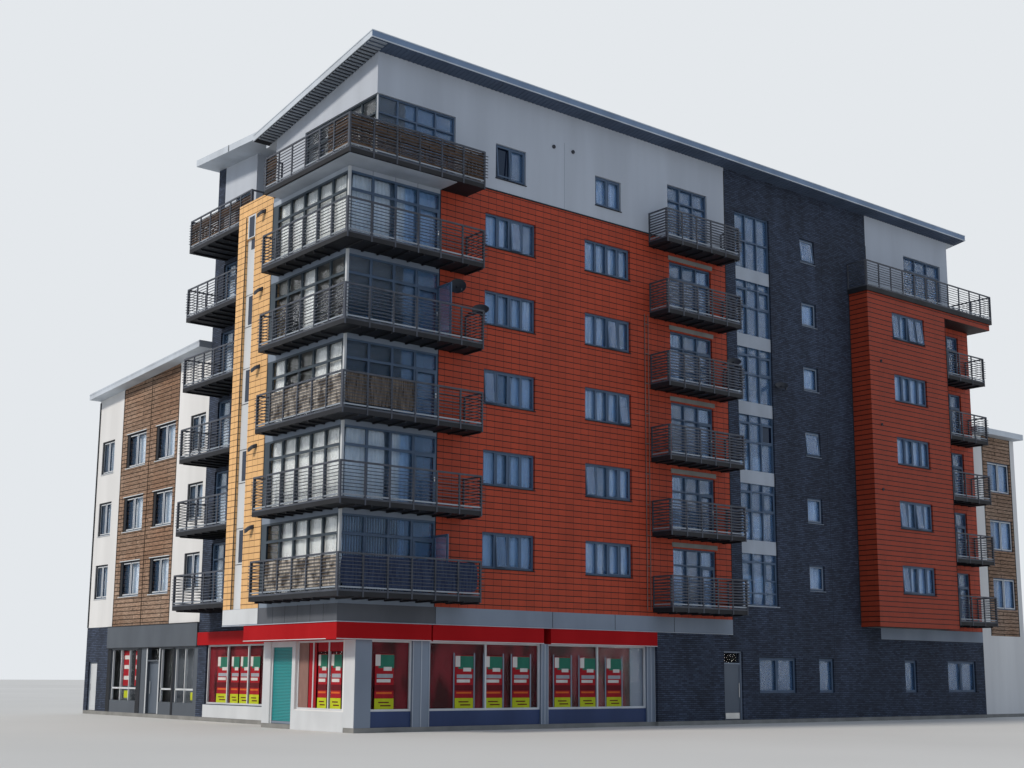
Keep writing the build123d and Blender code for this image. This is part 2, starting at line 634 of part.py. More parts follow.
# glazed doors to the balconies and terraces
FRONT_DOORS = [(left, right, floor_level(storey), floor_level(storey) + HEAD)
               for storey in range(LEVELS) for left, right in (FRONT_DOOR, END_DOOR)]
FRONT_DOORS += [(PENT_DOOR[0], PENT_DOOR[1], PENT_FLOOR, PENT_FLOOR + PENT_HEAD),
                (TERRACE_DOOR[0], TERRACE_DOOR[1], CLAD_TOP, PENT_FLOOR + PENT_HEAD + DECK)]
SIDE_DOORS = [(RECESS_DOOR[0], RECESS_DOOR[1], floor_level(storey),
               floor_level(storey) + RECESS_HEAD)
              for storey in range(LEVELS)]
SIDE_DOORS.append((REAR_ROOM_DOOR[0], REAR_ROOM_DOOR[1], PENT_FLOOR, PENT_FLOOR + HEAD))
with BuildPart() as balcony_door_frames:
    with BuildSketch(front(REVEAL)):
        for left, right, sill, head in FRONT_DOORS:
            lights(left, right, sill, head, 3, (head - TRANSOM,))
    extrude(amount=-FRAME)
    with BuildSketch(side(RECESS_X + REVEAL)):
        for near, far, sill, head in SIDE_DOORS:
            lights(near, far, sill, head, 3, (head - TRANSOM,))
    extrude(amount=FRAME)

with BuildPart() as balcony_door_glass:
    with BuildSketch(front(REVEAL + FRAME)):
        for left, right, sill, head in FRONT_DOORS:
            area(left, right, sill, head)
    extrude(amount=-GLASS)
    with BuildSketch(side(RECESS_X + REVEAL + FRAME)):
        for near, far, sill, head in SIDE_DOORS:
            area(near, far, sill, head)
    extrude(amount=GLASS)

# side street face
SLOT_TOP = CLAD_TOP - STOREY / 2
with BuildPart() as ochre_wall:
    with BuildSketch(plan(BAND_TOP)):
        outline((0, BAY_SIDE + BAY_POST), (0, OCHRE_END), (RECESS_X, OCHRE_END),
                (RECESS_X, OCHRE_END - WALL), (WALL, OCHRE_END - WALL),
                (WALL, BAY_SIDE + BAY_POST))
    extrude(amount=CLAD_TOP - BAND_TOP)
    with BuildSketch(side(0)):
        area(OCHRE_SLOT[0], OCHRE_SLOT[1], BAND_TOP, SLOT_TOP)
    extrude(amount=WALL, mode=Mode.SUBTRACT)

with BuildPart() as slot_window:
    with BuildSketch(side(REVEAL)):
        area(OCHRE_SLOT[0], OCHRE_SLOT[1], BAND_TOP, SLOT_TOP)
    extrude(amount=FRAME)

with BuildPart() as recess_wall:
    with BuildSketch(side(RECESS_X)):
        area(SHOP_BACK - WALL, BACK_Y - BRICK_PIER, PLINTH, FIRST_FLOOR - SLAB)
        area(OCHRE_END - WALL, BACK_Y - BRICK_PIER, FIRST_FLOOR - SLAB, PENT_FLOOR)
        area(SETBACK_WINDOW[0], SETBACK_WINDOW[1], STALL, SHOP_HEAD, mode=Mode.SUBTRACT)
        for near, far, sill, head in SIDE_DOORS[:LEVELS]:
            area(near, far, sill, head, mode=Mode.SUBTRACT)
    extrude(amount=WALL)

with BuildPart() as brick_pier:
    with BuildSketch(side(RECESS_X)):
        area(BACK_Y - BRICK_PIER, BACK_Y, PLINTH, SKY)
    extrude(amount=WALL)
    extrude(over_roofs.sketch, amount=ROOF_RUN, mode=Mode.SUBTRACT)

# closed end and rear of the tall block
with BuildPart() as end_walls:
    with BuildSketch(side(END_X - WALL)):
        area(WALL, BACK_Y - WALL, PLINTH, PENT_FLOOR)
    extrude(amount=WALL)
    with BuildSketch(side(PENT_END - WALL)):
        area(WALL, BACK_Y - WALL, PENT_FLOOR, SKY)
    extrude(amount=WALL)
    extrude(over_roofs.sketch, amount=ROOF_RUN, mode=Mode.SUBTRACT)

with BuildPart() as rear_wall:
    with BuildSketch(front(BACK_Y - WALL)):
        area(RECESS_X + WALL, END_X, PLINTH, PENT_FLOOR)
        area(RECESS_X + WALL, PENT_END, PENT_FLOOR, SKY)
        for left, right, sill, head in REAR:
            area(left, right, sill, head, mode=Mode.SUBTRACT)
    extrude(amount=-WALL)
    extrude(over_roofs.sketch, amount=ROOF_RUN, mode=Mode.SUBTRACT)

# penthouse
with BuildPart() as penthouse_front_walls:
    with BuildSketch(front(0)):
        area(PENT_X, CLAD_END, CLAD_TOP, SKY)
        area(PENT_X, BAY_FRONT, PENT_FLOOR, CLAD_TOP)
        area(PENT_X, PENT_GLAZING, PENT_FLOOR, PENT_FLOOR + PENT_HEAD, mode=Mode.SUBTRACT)
        area(PENT_DOOR[0], PENT_DOOR[1], CLAD_TOP, PENT_FLOOR + PENT_HEAD, mode=Mode.SUBTRACT)
        for left, right, sill, head in PENT_WINDOWS:
            area(left, right, PENT_FLOOR + sill, PENT_FLOOR + head, mode=Mode.SUBTRACT)
        area(PENT_BRICK_END, PENT_END, BOX_TOP, SKY)
        area(PENT_BRICK_END, BOX_END - WALL, PENT_FLOOR, BOX_TOP)
        area(TERRACE_DOOR[0], TERRACE_DOOR[1], CLAD_TOP, PENT_FLOOR + PENT_HEAD + DECK,
             mode=Mode.SUBTRACT)
    extrude(amount=-WALL)
    extrude(over_roofs.sketch, amount=ROOF_RUN, mode=Mode.SUBTRACT)

with BuildPart() as penthouse_side_walls:
    with BuildSketch(plan(PENT_FLOOR)):
        outline((PENT_X, WALL), (PENT_X + WALL, WALL), (PENT_X + WALL, PENT_SIDE_END - WALL),
                (RECESS_BACK_X + WALL, PENT_SIDE_END - WALL),
                (RECESS_BACK_X + WALL, REAR_ROOM_Y + WALL), (RECESS_X + WALL, REAR_ROOM_Y + WALL),
                (RECESS_X + WALL, REAR_ROOM_Y), (RECESS_BACK_X, REAR_ROOM_Y),
                (RECESS_BACK_X, PENT_SIDE_END), (PENT_X, PENT_SIDE_END))
    extrude(amount=SKY - PENT_FLOOR)
    with BuildSketch(side(RECESS_X)):
        area(REAR_ROOM_Y, BACK_Y - BRICK_PIER, PENT_FLOOR, SKY)
    extrude(amount=WALL)
    with BuildSketch(side(RECESS_X)):
        near, far, sill, head = SIDE_DOORS[LEVELS]
        area(near, far, sill, head)
    extrude(amount=WALL, mode=Mode.SUBTRACT)
    with BuildSketch(side(PENT_X)):
        area(WALL, BAY_SIDE, PENT_FLOOR, PENT_FLOOR + PENT_HEAD)
    extrude(amount=WALL, mode=Mode.SUBTRACT)
    extrude(over_roofs.sketch, amount=ROOF_RUN, mode=Mode.SUBTRACT)

# roofs
with BuildPart() as front_roof:
    with BuildSketch(side(ROOF_LEFT)):
        outline((FRONT_EAVE_Y, front_soffit(FRONT_EAVE_Y)), (ROOF_SPLIT, front_soffit(ROOF_SPLIT)),
                (ROOF_SPLIT, front_soffit(ROOF_SPLIT) + ROOF_T),
                (FRONT_EAVE_Y, front_soffit(FRONT_EAVE_Y) + ROOF_T))
    extrude(amount=ROOF_RIGHT - ROOF_LEFT)

with BuildPart() as rear_roof:
    with BuildSketch(side(REAR_LEFT)):
        outline((ROOF_SPLIT, front_soffit(ROOF_SPLIT)),
                (ROOF_SPLIT + ROOF_T, front_soffit(ROOF_SPLIT)),
                (ROOF_SPLIT + ROOF_T, rear_soffit(ROOF_SPLIT + ROOF_T)),
                (REAR_END, rear_soffit(REAR_END)), (REAR_END, rear_soffit(REAR_END) + ROOF_T),
                (ROOF_SPLIT, rear_soffit(ROOF_SPLIT) + ROOF_T))
    extrude(amount=ROOF_RIGHT - REAR_LEFT)

with BuildPart() as wing_roofs:
    with BuildSketch(side(RECESS_X - WING_OUT)):
        outline((BACK_Y, wing_soffit(BACK_Y)), (WING_END, wing_soffit(WING_END)),
                (WING_END, wing_soffit(WING_END) + ROOF_T), (BACK_Y, wing_soffit(BACK_Y) + ROOF_T))
    extrude(amount=WING_X - RECESS_X + 2 * WING_OUT)
    with BuildSketch(plan(FAR_TOP)):
        area(END_X, FAR_END, FAR_Y - WING_OUT, FAR_BACK)
    extrude(amount=ROOF_T)

# balconies
with BuildPart() as corner_decks:
    for storey in range(LEVELS + 1):
        with BuildSketch(plan(floor_level(storey) - DECK)):
            outline((-CORNER_OUT_X, -CORNER_OUT_Y), (CORNER_RUN_X, -CORNER_OUT_Y),
                    (CORNER_RUN_X, 0), (0, 0), (0, CORNER_RUN_Y), (-CORNER_OUT_X, CORNER_RUN_Y))
        extrude(amount=DECK)

with BuildPart() as balcony_decks:
    for storey in range(LEVELS + 1):
        with BuildSketch(plan(floor_level(storey) - DECK)):
            area(MID_X[0], MID_X[1], -MID_OUT, 0)
            area(SIDE_OUT_X, RECESS_X, OCHRE_END, SIDE_END_Y)
            if storey < LEVELS:
                area(BOX_END, END_BALCONY_X, -MID_OUT, 0)
        extrude(amount=DECK)

with BuildPart() as terrace_deck:
    with BuildSketch(plan(BOX_TOP)):
        outline((TERRACE_X[0], -TERRACE_OUT), (TERRACE_X[1], -TERRACE_OUT),
                (TERRACE_X[1], TERRACE_BACK), (END_X, TERRACE_BACK), (END_X, 0),
                (TERRACE_X[0], 0))
    extrude(amount=TERRACE_DECK)

with BuildPart() as front_rails:
    with BuildSketch(front(-CORNER_OUT_Y)):
        for storey in range(LEVELS + 1):
            railing(-CORNER_OUT_X, CORNER_RUN_X, floor_level(storey))
    extrude(amount=-RAIL_T)
    with BuildSketch(front(-MID_OUT)):
        for storey in range(LEVELS + 1):
            railing(MID_X[0], MID_X[1], floor_level(storey))
            if storey < LEVELS:
                railing(BOX_END, END_BALCONY_X, floor_level(storey))
    extrude(amount=-RAIL_T)
    with BuildSketch(front(-TERRACE_OUT)):
        railing(TERRACE_X[0], TERRACE_X[1], CLAD_TOP)
    extrude(amount=-RAIL_T)

with BuildPart() as side_rails:
    with BuildSketch(side(-CORNER_OUT_X)):
        for storey in range(LEVELS + 1):
            railing(RAIL_T - CORNER_OUT_Y, CORNER_RUN_Y, floor_level(storey))
    extrude(amount=RAIL_T)
    with BuildSketch(side(SIDE_OUT_X)):
        for storey in range(LEVELS + 1):
            railing(OCHRE_END, SIDE_END_Y, floor_level(storey))
    extrude(amount=RAIL_T)

with BuildPart() as rail_ends:
    with BuildSketch(front(CORNER_RUN_Y - RAIL_T)):
        for storey in range(LEVELS + 1):
            railing(RAIL_T - CORNER_OUT_X, 0, floor_level(storey))
    extrude(amount=-RAIL_T)
    with BuildSketch(front(SIDE_END_Y - RAIL_T)):
        for storey in range(LEVELS + 1):
            railing(SIDE_OUT_X + RAIL_T, RECESS_X, floor_level(storey))
    extrude(amount=-RAIL_T)
    with BuildSketch(front(OCHRE_END)):
        railing(SIDE_OUT_X + RAIL_T, PENT_X, PENT_FLOOR)
    extrude(amount=-RAIL_T)
    for left, out in ((CORNER_RUN_X - RAIL_T, CORNER_OUT_Y), (MID_X[0], MID_OUT),
                      (MID_X[1] - RAIL_T, MID_OUT)):
        with BuildSketch(side(left)):
            for storey in range(LEVELS + 1):
                railing(RAIL_T - out, 0, floor_level(storey))
        extrude(amount=RAIL_T)
    with BuildSketch(side(END_BALCONY_X - RAIL_T)):
        for storey in range(LEVELS):
            railing(RAIL_T - MID_OUT, 0, floor_level(storey))
    extrude(amount=RAIL_T)
    for left, back in ((TERRACE_X[0], 0), (TERRACE_X[1] - RAIL_T, TERRACE_BACK)):
        with BuildSketch(side(left)):
            railing(RAIL_T - TERRACE_OUT, back, CLAD_TOP)
        extrude(amount=RAIL_T)

# side wing and first bay of the far wing
with BuildPart() as wing_render_walls:
    with BuildSketch(side(RECESS_X)):
        for near, far in ((BACK_Y, TIMBER[0]), (TIMBER[1], WING_END)):
            outline((near, WING_FASCIA_TOP), (far, WING_FASCIA_TOP),
                    (far, wing_soffit(far)), (near, wing_soffit(near)))
        for near, far, sill, head in WING:
            area(near, far, sill, head, mode=Mode.SUBTRACT)
    extrude(amount=WALL)
    with BuildSketch(front(FAR_Y)):
        area(END_X, FAR_END, PLINTH, FAR_TOP)
        area(FAR_TIMBER[0], FAR_TIMBER[1], WING_FASCIA_TOP, FAR_TOP, mode=Mode.SUBTRACT)
    extrude(amount=-WALL)

with BuildPart() as wing_timber_wall:
    with BuildSketch(side(RECESS_X)):
        outline((TIMBER[0], WING_FASCIA_TOP), (TIMBER[1], WING_FASCIA_TOP),
                (TIMBER[1], wing_soffit(TIMBER[1])), (TIMBER[0], wing_soffit(TIMBER[0])))
        for near, far, sill, head in WING:
            area(near, far, sill, head, mode=Mode.SUBTRACT)
    extrude(amount=WALL)
    with BuildSketch(front(FAR_Y)):
        area(FAR_TIMBER[0], FAR_TIMBER[1], WING_FASCIA_TOP, FAR_TOP)
        for storey in range(WING_LEVELS):
            foot = floor_level(storey)
            area(FAR_WINDOW[0], FAR_WINDOW[1], foot + WING_SILL, foot + WING_HEAD,
                 mode=Mode.SUBTRACT)
    extrude(amount=-WALL)

with BuildPart() as wing_fascia:
    with BuildSketch(side(RECESS_X - REVEAL)):
        area(BACK_Y, WING_SHOP_END, WING_SHOP_HEAD, WING_FASCIA_TOP)
    extrude(amount=WALL)

with BuildPart() as wing_shopfront:
    with BuildSketch(side(RECESS_X)):
        area(BACK_Y, WING_SHOP_DOOR[0], PLINTH, WING_SHOP_HEAD)
        area(WING_SHOP_DOOR[0], WING_SHOP_DOOR[1], WING_DOOR_HEAD, WING_DOOR_HEAD + BAR)
        area(WING_SHOP_DOOR[1], WING_SHOP_END, PLINTH, WING_SHOP_HEAD)
        for near, far in WING_BAYS:
            area(near, far, STALL, WING_SHOP_HEAD - BAR, mode=Mode.SUBTRACT)
    extrude(amount=WALL / 2)
    for foot in HINGES:
        with BuildSketch(plan(foot + KNUCKLE + PIN_GAP)):
            x, y = SHOP_PIN
            knuckle(x, y, x - PIN_R, x - PIN_R + HINGE_PLATE, y - HINGE_WIDE, y)
        extrude(amount=KNUCKLE)

with BuildPart() as wing_shop_door:
    near, far = WING_SHOP_DOOR[0] + CLEAR, WING_SHOP_DOOR[1] - CLEAR
    with BuildSketch(side(RECESS_X + WALL / 2 - LEAF_T)):
        lights(near, far, LEAF_FOOT, WING_DOOR_HEAD - CLEAR, 1, ())
    extrude(amount=LEAF_T)
    with BuildSketch(side(RECESS_X + WALL / 2 - LEAF_T / 2)):
        area(near + BAR, far - BAR, LEAF_FOOT + BAR, WING_DOOR_HEAD - CLEAR - BAR)
    extrude(amount=GLASS / 2, both=True)
    for foot in HINGES:
        with BuildSketch(plan(foot)):
            x, y = SHOP_PIN
            knuckle(x, y, x - PIN_R, x - PIN_R + HINGE_PLATE, y, y + HINGE_WIDE)
        extrude(amount=KNUCKLE)

with BuildPart() as wing_end_door:
    with BuildSketch(side(RECESS_X + INNER - LEAF_T)):
        area(WING_END_DOOR[0] + BAR + CLEAR, WING_END_DOOR[1] - BAR - CLEAR, LEAF_FOOT,
             WING_DOOR_HEAD - BAR - CLEAR)
    extrude(amount=LEAF_T)
    for foot in HINGES:
        with BuildSketch(plan(foot)):
            x, y = END_PIN
            knuckle(x, y, x - PIN_R, x - PIN_R + HINGE_PLATE, y, y + HINGE_WIDE)
        extrude(amount=KNUCKLE)

with BuildPart() as wing_back_walls:
    with BuildSketch(plan(PLINTH)):
        outline((RECESS_X + WALL, WING_END - PARTY_WALL), (WING_X - WALL, WING_END - PARTY_WALL),
                (WING_X - WALL, BACK_Y), (WING_X, BACK_Y), (WING_X, WING_END),
                (RECESS_X + WALL, WING_END))
    extrude(amount=SKY - PLINTH)
    with BuildSketch(side(RECESS_X)):
        outline((BACK_Y, wing_soffit(BACK_Y)), (WING_END, wing_soffit(WING_END)),
                (WING_END, SKY), (BACK_Y, SKY))
    extrude(amount=WING_X - RECESS_X, mode=Mode.SUBTRACT)
    with BuildSketch(plan(PLINTH)):
        outline((FAR_END, FAR_Y + WALL), (FAR_END, FAR_BACK), (END_X, FAR_BACK),
                (END_X, FAR_BACK - WALL), (FAR_END - WALL, FAR_BACK - WALL),
                (FAR_END - WALL, FAR_Y + WALL))
    extrude(amount=FAR_TOP - PLINTH)

ground_slab.part.label = "ground_slab"
export_step(ground_slab.part, "parts/ground_slab.step")
upper_floors.part.label = "upper_floors"
export_step(upper_floors.part, "parts/upper_floors.step")
wing_floors.part.label = "wing_floors"
export_step(wing_floors.part, "parts/wing_floors.step")
soffits.part.label = "soffits"
export_step(soffits.part, "parts/soffits.step")
shop_columns.part.label = "shop_columns"
export_step(shop_columns.part, "parts/shop_columns.step")
shop_fascia.part.label = "shop_fascia"
export_step(shop_fascia.part, "parts/shop_fascia.step")
side_fascia.part.label = "side_fascia"
export_step(side_fascia.part, "parts/side_fascia.step")
shopfront_frames.part.label = "shopfront_frames"
export_step(shopfront_frames.part, "parts/shopfront_frames.step")
shop_glass.part.label = "shop_glass"
export_step(shop_glass.part, "parts/shop_glass.step")
shop_side_wall.part.label = "shop_side_wall"
export_step(shop_side_wall.part, "parts/shop_side_wall.step")
roller_shutter.part.label = "roller_shutter"
export_step(roller_shutter.part, "parts/roller_shutter.step")
string_band.part.label = "string_band"
export_step(string_band.part, "parts/string_band.step")
ground_brick_walls.part.label = "ground_brick_walls"
export_step(ground_brick_walls.part, "parts/ground_brick_walls.step")
door_lintels.part.label = "door_lintels"
export_step(door_lintels.part, "parts/door_lintels.step")
door_frames.part.label = "door_frames"
export_step(door_frames.part, "parts/door_frames.step")
entrance_door.part.label = "entrance_door"
export_step(entrance_door.part, "parts/entrance_door.step")
bay_front_frames.part.label = "bay_front_frames"
export_step(bay_front_frames.part, "parts/bay_front_frames.step")
bay_side_frames.part.label = "bay_side_frames"
export_step(bay_side_frames.part, "parts/bay_side_frames.step")
bay_front_glass.part.label = "bay_front_glass"
export_step(bay_front_glass.part, "parts/bay_front_glass.step")
bay_side_glass.part.label = "bay_side_glass"
export_step(bay_side_glass.part, "parts/bay_side_glass.step")
bay_front_spandrels.part.label = "bay_front_spandrels"
export_step(bay_front_spandrels.part, "parts/bay_front_spandrels.step")
bay_side_spandrels.part.label = "bay_side_spandrels"
export_step(bay_side_spandrels.part, "parts/bay_side_spandrels.step")
terracotta_wall.part.label = "terracotta_wall"
export_step(terracotta_wall.part, "parts/terracotta_wall.step")
brick_wall.part.label = "brick_wall"
export_step(brick_wall.part, "parts/brick_wall.step")
box_walls.part.label = "box_walls"
export_step(box_walls.part, "parts/box_walls.step")
end_recess_wall.part.label = "end_recess_wall"
export_step(end_recess_wall.part, "parts/end_recess_wall.step")
window_frames.part.label = "window_frames"
export_step(window_frames.part, "parts/window_frames.step")
window_glass.part.label = "window_glass"
export_step(window_glass.part, "parts/window_glass.step")
balcony_door_frames.part.label = "balcony_door_frames"
export_step(balcony_door_frames.part, "parts/balcony_door_frames.step")
balcony_door_glass.part.label = "balcony_door_glass"
export_step(balcony_door_glass.part, "parts/balcony_door_glass.step")
ochre_wall.part.label = "ochre_wall"
export_step(ochre_wall.part, "parts/ochre_wall.step")
slot_window.part.label = "slot_window"
export_step(slot_window.part, "parts/slot_window.step")
recess_wall.part.label = "recess_wall"
export_step(recess_wall.part, "parts/recess_wall.step")
brick_pier.part.label = "brick_pier"
export_step(brick_pier.part, "parts/brick_pier.step")
end_walls.part.label = "end_walls"
export_step(end_walls.part, "parts/end_walls.step")
rear_wall.part.label = "rear_wall"
export_step(rear_wall.part, "parts/rear_wall.step")
penthouse_front_walls.part.label = "penthouse_front_walls"
export_step(penthouse_front_walls.part, "parts/penthouse_front_walls.step")
penthouse_side_walls.part.label = "penthouse_side_walls"
export_step(penthouse_side_walls.part, "parts/penthouse_side_walls.step")
front_roof.part.label = "front_roof"
export_step(front_roof.part, "parts/front_roof.step")
rear_roof.part.label = "rear_roof"
export_step(rear_roof.part, "parts/rear_roof.step")
wing_roofs.part.label = "wing_roofs"
export_step(wing_roofs.part, "parts/wing_roofs.step")
corner_decks.part.label = "corner_decks"
export_step(corner_decks.part, "parts/corner_decks.step")
balcony_decks.part.label = "balcony_decks"
export_step(balcony_decks.part, "parts/balcony_decks.step")
terrace_deck.part.label = "terrace_deck"
export_step(terrace_deck.part, "parts/terrace_deck.step")
front_rails.part.label = "front_rails"
export_step(front_rails.part, "parts/front_rails.step")
side_rails.part.label = "side_rails"
export_step(side_rails.part, "parts/side_rails.step")
rail_ends.part.label = "rail_ends"
export_step(rail_ends.part, "parts/rail_ends.step")
wing_render_walls.part.label = "wing_render_walls"
export_step(wing_render_walls.part, "parts/wing_render_walls.step")
wing_timber_wall.part.label = "wing_timber_wall"
export_step(wing_timber_wall.part, "parts/wing_timber_wall.step")
wing_fascia.part.label = "wing_fascia"
export_step(wing_fascia.part, "parts/wing_fascia.step")
wing_shopfront.part.label = "wing_shopfront"
export_step(wing_shopfront.part, "parts/wing_shopfront.step")
wing_shop_door.part.label = "wing_shop_door"
export_step(wing_shop_door.part, "parts/wing_shop_door.step")
wing_end_door.part.label = "wing_end_door"
export_step(wing_end_door.part, "parts/wing_end_door.step")
wing_back_walls.part.label = "wing_back_walls"
export_step(wing_back_walls.part, "parts/wing_back_walls.step")
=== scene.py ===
"""Corner apartment block: finishes, glazing, curtains, balcony rails, roof edges and shopfronts.

Stations are metres from the street corner of the tall block: x along the long front, y back
along the side street, z up from the pavement. A span is (x0, x1, y0, y1, z0, z1); a pane is
(along0, along1, plane, z0, z1), where a front pane runs along x and a side pane along y.
"""
import json
from math import pi, radians, tan
import bpy
from bpy.props import FloatProperty, FloatVectorProperty, IntProperty, PointerProperty
from mathutils import Matrix, Vector


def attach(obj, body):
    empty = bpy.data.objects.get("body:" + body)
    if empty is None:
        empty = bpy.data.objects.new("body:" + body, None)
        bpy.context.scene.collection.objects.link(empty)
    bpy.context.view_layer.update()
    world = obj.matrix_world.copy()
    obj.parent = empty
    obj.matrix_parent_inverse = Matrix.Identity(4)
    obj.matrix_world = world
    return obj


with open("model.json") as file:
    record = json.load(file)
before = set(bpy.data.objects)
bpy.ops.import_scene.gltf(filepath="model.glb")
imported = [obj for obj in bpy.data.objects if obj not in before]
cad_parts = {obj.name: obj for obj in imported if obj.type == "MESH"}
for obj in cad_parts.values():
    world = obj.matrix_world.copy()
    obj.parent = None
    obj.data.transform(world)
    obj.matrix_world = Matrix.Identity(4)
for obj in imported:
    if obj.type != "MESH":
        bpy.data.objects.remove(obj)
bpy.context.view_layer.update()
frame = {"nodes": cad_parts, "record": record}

bl_info = {
    "name": "Corner apartment block",
    "version": (1, 0, 0),
    "blender": (4, 5, 0),
    "location": "View3D > Sidebar > Block",
    "description": "Dresses the apartment block with its finishes and small parts",
    "category": "Object",
}

CORNER = Vector((17.5, 6.6, 0.0))
FIRST_FLOOR = 4.25
STOREY = 2.8
LEVELS = 5
WING_LEVELS = 3
TOP_FLOOR = FIRST_FLOOR + LEVELS * STOREY
CLAD_TOP = 18.6
UPPER_FOOT = 3.75
BAY_TOP = 18.09
SILL, HEAD = 1.06, 2.28
SMALL_SILL, SMALL_HEAD = 1.02, 2.07
WING_SILL, WING_HEAD = 0.75, 2.25
GROUND_SILL, GROUND_HEAD = 1.16, 2.53
BAY_HEAD, TRANSOM = 2.48, 0.62
BAR = 0.06
REVEAL = 0.08
SASH_DEPTH = 0.016
OPEN_DEPTH = 0.03
SILL_THICK = 0.03
CURTAIN_BACK = 0.26
CURTAIN_GAP = 0.03
POST_TALL = 2.62
DECK = 0.15
BOX_FRONT = -0.975
WING_FACE = 2.0
REAR_FACE = 13.2
FAR_FACE = 0.3
SIDE_PANES = -15.3
SLAB, SHOP_SILL, SHOP_HEAD = 0.15, 0.66, 2.85
BAND_FOOT, BAND_TOP = 3.40, 3.95
KERB_FOOT, KERB_TOP, RAIL_TOP = 0.10, 0.15, 1.12
EAVE, EAVE_FOOT = -0.6, 22.44
SLOPE = {"front": tan(radians(9)), "rear": tan(radians(3.5)), "wing": tan(radians(3))}
OUT = {"front": Vector((0, -1, 0)), "side": Vector((-1, 0, 0)), "rear": Vector((0, 1, 0))}
ALONG = {"front": Vector((1, 0, 0)), "side": Vector((0, 1, 0))}

FRONT_WINDOWS = ((5.61, 7.90), (10.27, 12.57))
BOX_WINDOW = (27.66, 30.06)
SMALL_WINDOW = (22.66, 23.63)
FRONT_DOOR = (14.70, 17.06)
END_DOOR = (31.85, 34.20)
RECESS_DOOR = (9.90, 12.44)
STAIR = (18.55, 20.68)
SLOT = (6.20, 6.85)
WING_WINDOWS = ((13.44, 14.76), (16.15, 17.97), (18.96, 20.91), (22.26, 23.59))
REAR_WINDOWS = ((14.0, 15.8), (20.0, 21.8), (26.0, 27.8), (31.0, 32.8))
GROUND_WINDOWS = ((19.41, 21.63), (23.08, 24.04), (28.90, 29.77), (32.10, 34.29))
TOP_WINDOWS = ((6.05, 7.44, 0.85, 2.13), (10.81, 12.14, 0.91, 2.07))
FAR_WINDOW = (36.6, 38.5)
SHOP_LIGHTS = ((1.4, 2.97), (3.64, 8.34), (8.66, 13.4))


def linear(code):
    """sRGB hex code to linear colour values."""
    parts = [int(code[i:i + 2], 16) / 255 for i in (0, 2, 4)]
    return [p / 12.92 if p <= 0.04045 else ((p + 0.055) / 1.055) ** 2.4 for p in parts]


def at(x, y, z):
    """Point at a station, in the part's own frame."""
    return Vector((x, y, z)) - CORNER


def level(storey):
    """Height of a storey's floor, counted from the first above the shops."""
    return FIRST_FLOOR + storey * STOREY


def size(name, default, note):
    """Setting that is a length in metres."""
    return FloatProperty(name=name, description=note, default=default, unit="LENGTH")


def colour(name, code, note):
    """Setting that is a colour, given by its sRGB hex code."""
    return FloatVectorProperty(name=name, description=note, subtype="COLOR", size=3,
                               min=0, max=1, default=linear(code))


class BlockSizes(bpy.types.PropertyGroup):
    """Sizes of the small parts."""
    bead: size("Glazing bead", 0.018, "Width of the bead round a pane")
    sash: size("Sash", 0.048, "Width of an opening sash's frame")
    sill: size("Sill nose", 0.035, "How far a window sill stands out")
    tilt: size("Open sash", 0.10, "How far the foot of an open sash is out")
    rail_bar: size("Rail bar", 0.024, "Thickness of a balcony bar")
    rail_bars: IntProperty(name="Rail bars", description="Bars between kerb and handrail",
                           default=8)
    joist: size("Deck joist", 0.055, "Depth of a joist under a deck")
    rib: size("Soffit rib", 0.19, "Spacing of the ribs under the eaves")
    seam: size("Roof seam", 0.6, "Spacing of the standing seams")
    slat: size("Screen slat", 0.075, "Height of a timber slat on a screen")
    pleat: size("Curtain pleat", 0.17, "Width of one pleat of a curtain")


class BlockColours(bpy.types.PropertyGroup):
    """Colours of the finishes."""
    terracotta: colour("Terracotta", "B5462C", "Fired face of the orange tiles")
    ochre: colour("Ochre", "EBBB80", "Fired face of the ochre tiles")
    brick: colour("Brick", "475369", "Face of the charcoal bricks")
    render: colour("Wing render", "E4E4E3", "Painted render of the low wing")
    # greyer and bluer than the wing's render: partly own paint, partly painted overhang shade
    upper: colour("Top storey render", "BEC5CF", "Painted render of the top storey")
    frames: colour("Frames", "4A5F79", "Powder coat on the window frames")
    pale: colour("Pale frames", "CDD1D4", "White coat on shop frames and trims")
    # the blue of the panes is painted sky reflection and painted blue shade
    glass: colour("Glass", "8DBEF4", "Tint of the panes")
    panel: colour("Panels", "7D8999", "Grey cladding panels")
    fascia: colour("Shop fascia", "A81218", "Red shop fascia")
    roof: colour("Roof metal", "C3CBD4", "Mill-finish roof edge")
    rails: colour("Rails", "474C57", "Painted steel of the rails")
    decks: colour("Decks", "14171F", "Painted steel of the decks")
    timber: colour("Timber", "877667", "Weathered cladding boards")
    shutter: colour("Shutter", "1C989B", "Teal roller shutter")
    dark: colour("Dark fascia", "4C535C", "Fascia of the side shop")
    concrete: colour("Concrete", "8F8F8C", "Floors and soffits")


def add(tree, kind, inputs=None, out=0, **settings):
    """Add a node with its settings, where an input is a value or the output of another node;
    gives one of its outputs, or the node where out is None."""
    node = tree.nodes.new("ShaderNode" + kind)
    for name, value in settings.items():
        setattr(node, name, value)
    for socket, source in (inputs or {}).items():
        if isinstance(source, bpy.types.NodeSocket):
            tree.links.new(source, node.inputs[socket])
        elif node.inputs[socket].type == "RGBA" and len(source) == 3:
            node.inputs[socket].default_value = (*source, 1.0)
        else:
            node.inputs[socket].default_value = source
    return node if out is None else node.outputs[out]


def new_finish(name):
    """Empty material; returns it with its tree and Object coordinates."""
    finish = bpy.data.materials.new(name)
    finish.use_nodes = True
    tree = finish.node_tree
    tree.nodes.clear()
    return finish, tree, add(tree, "TexCoord", out="Object")


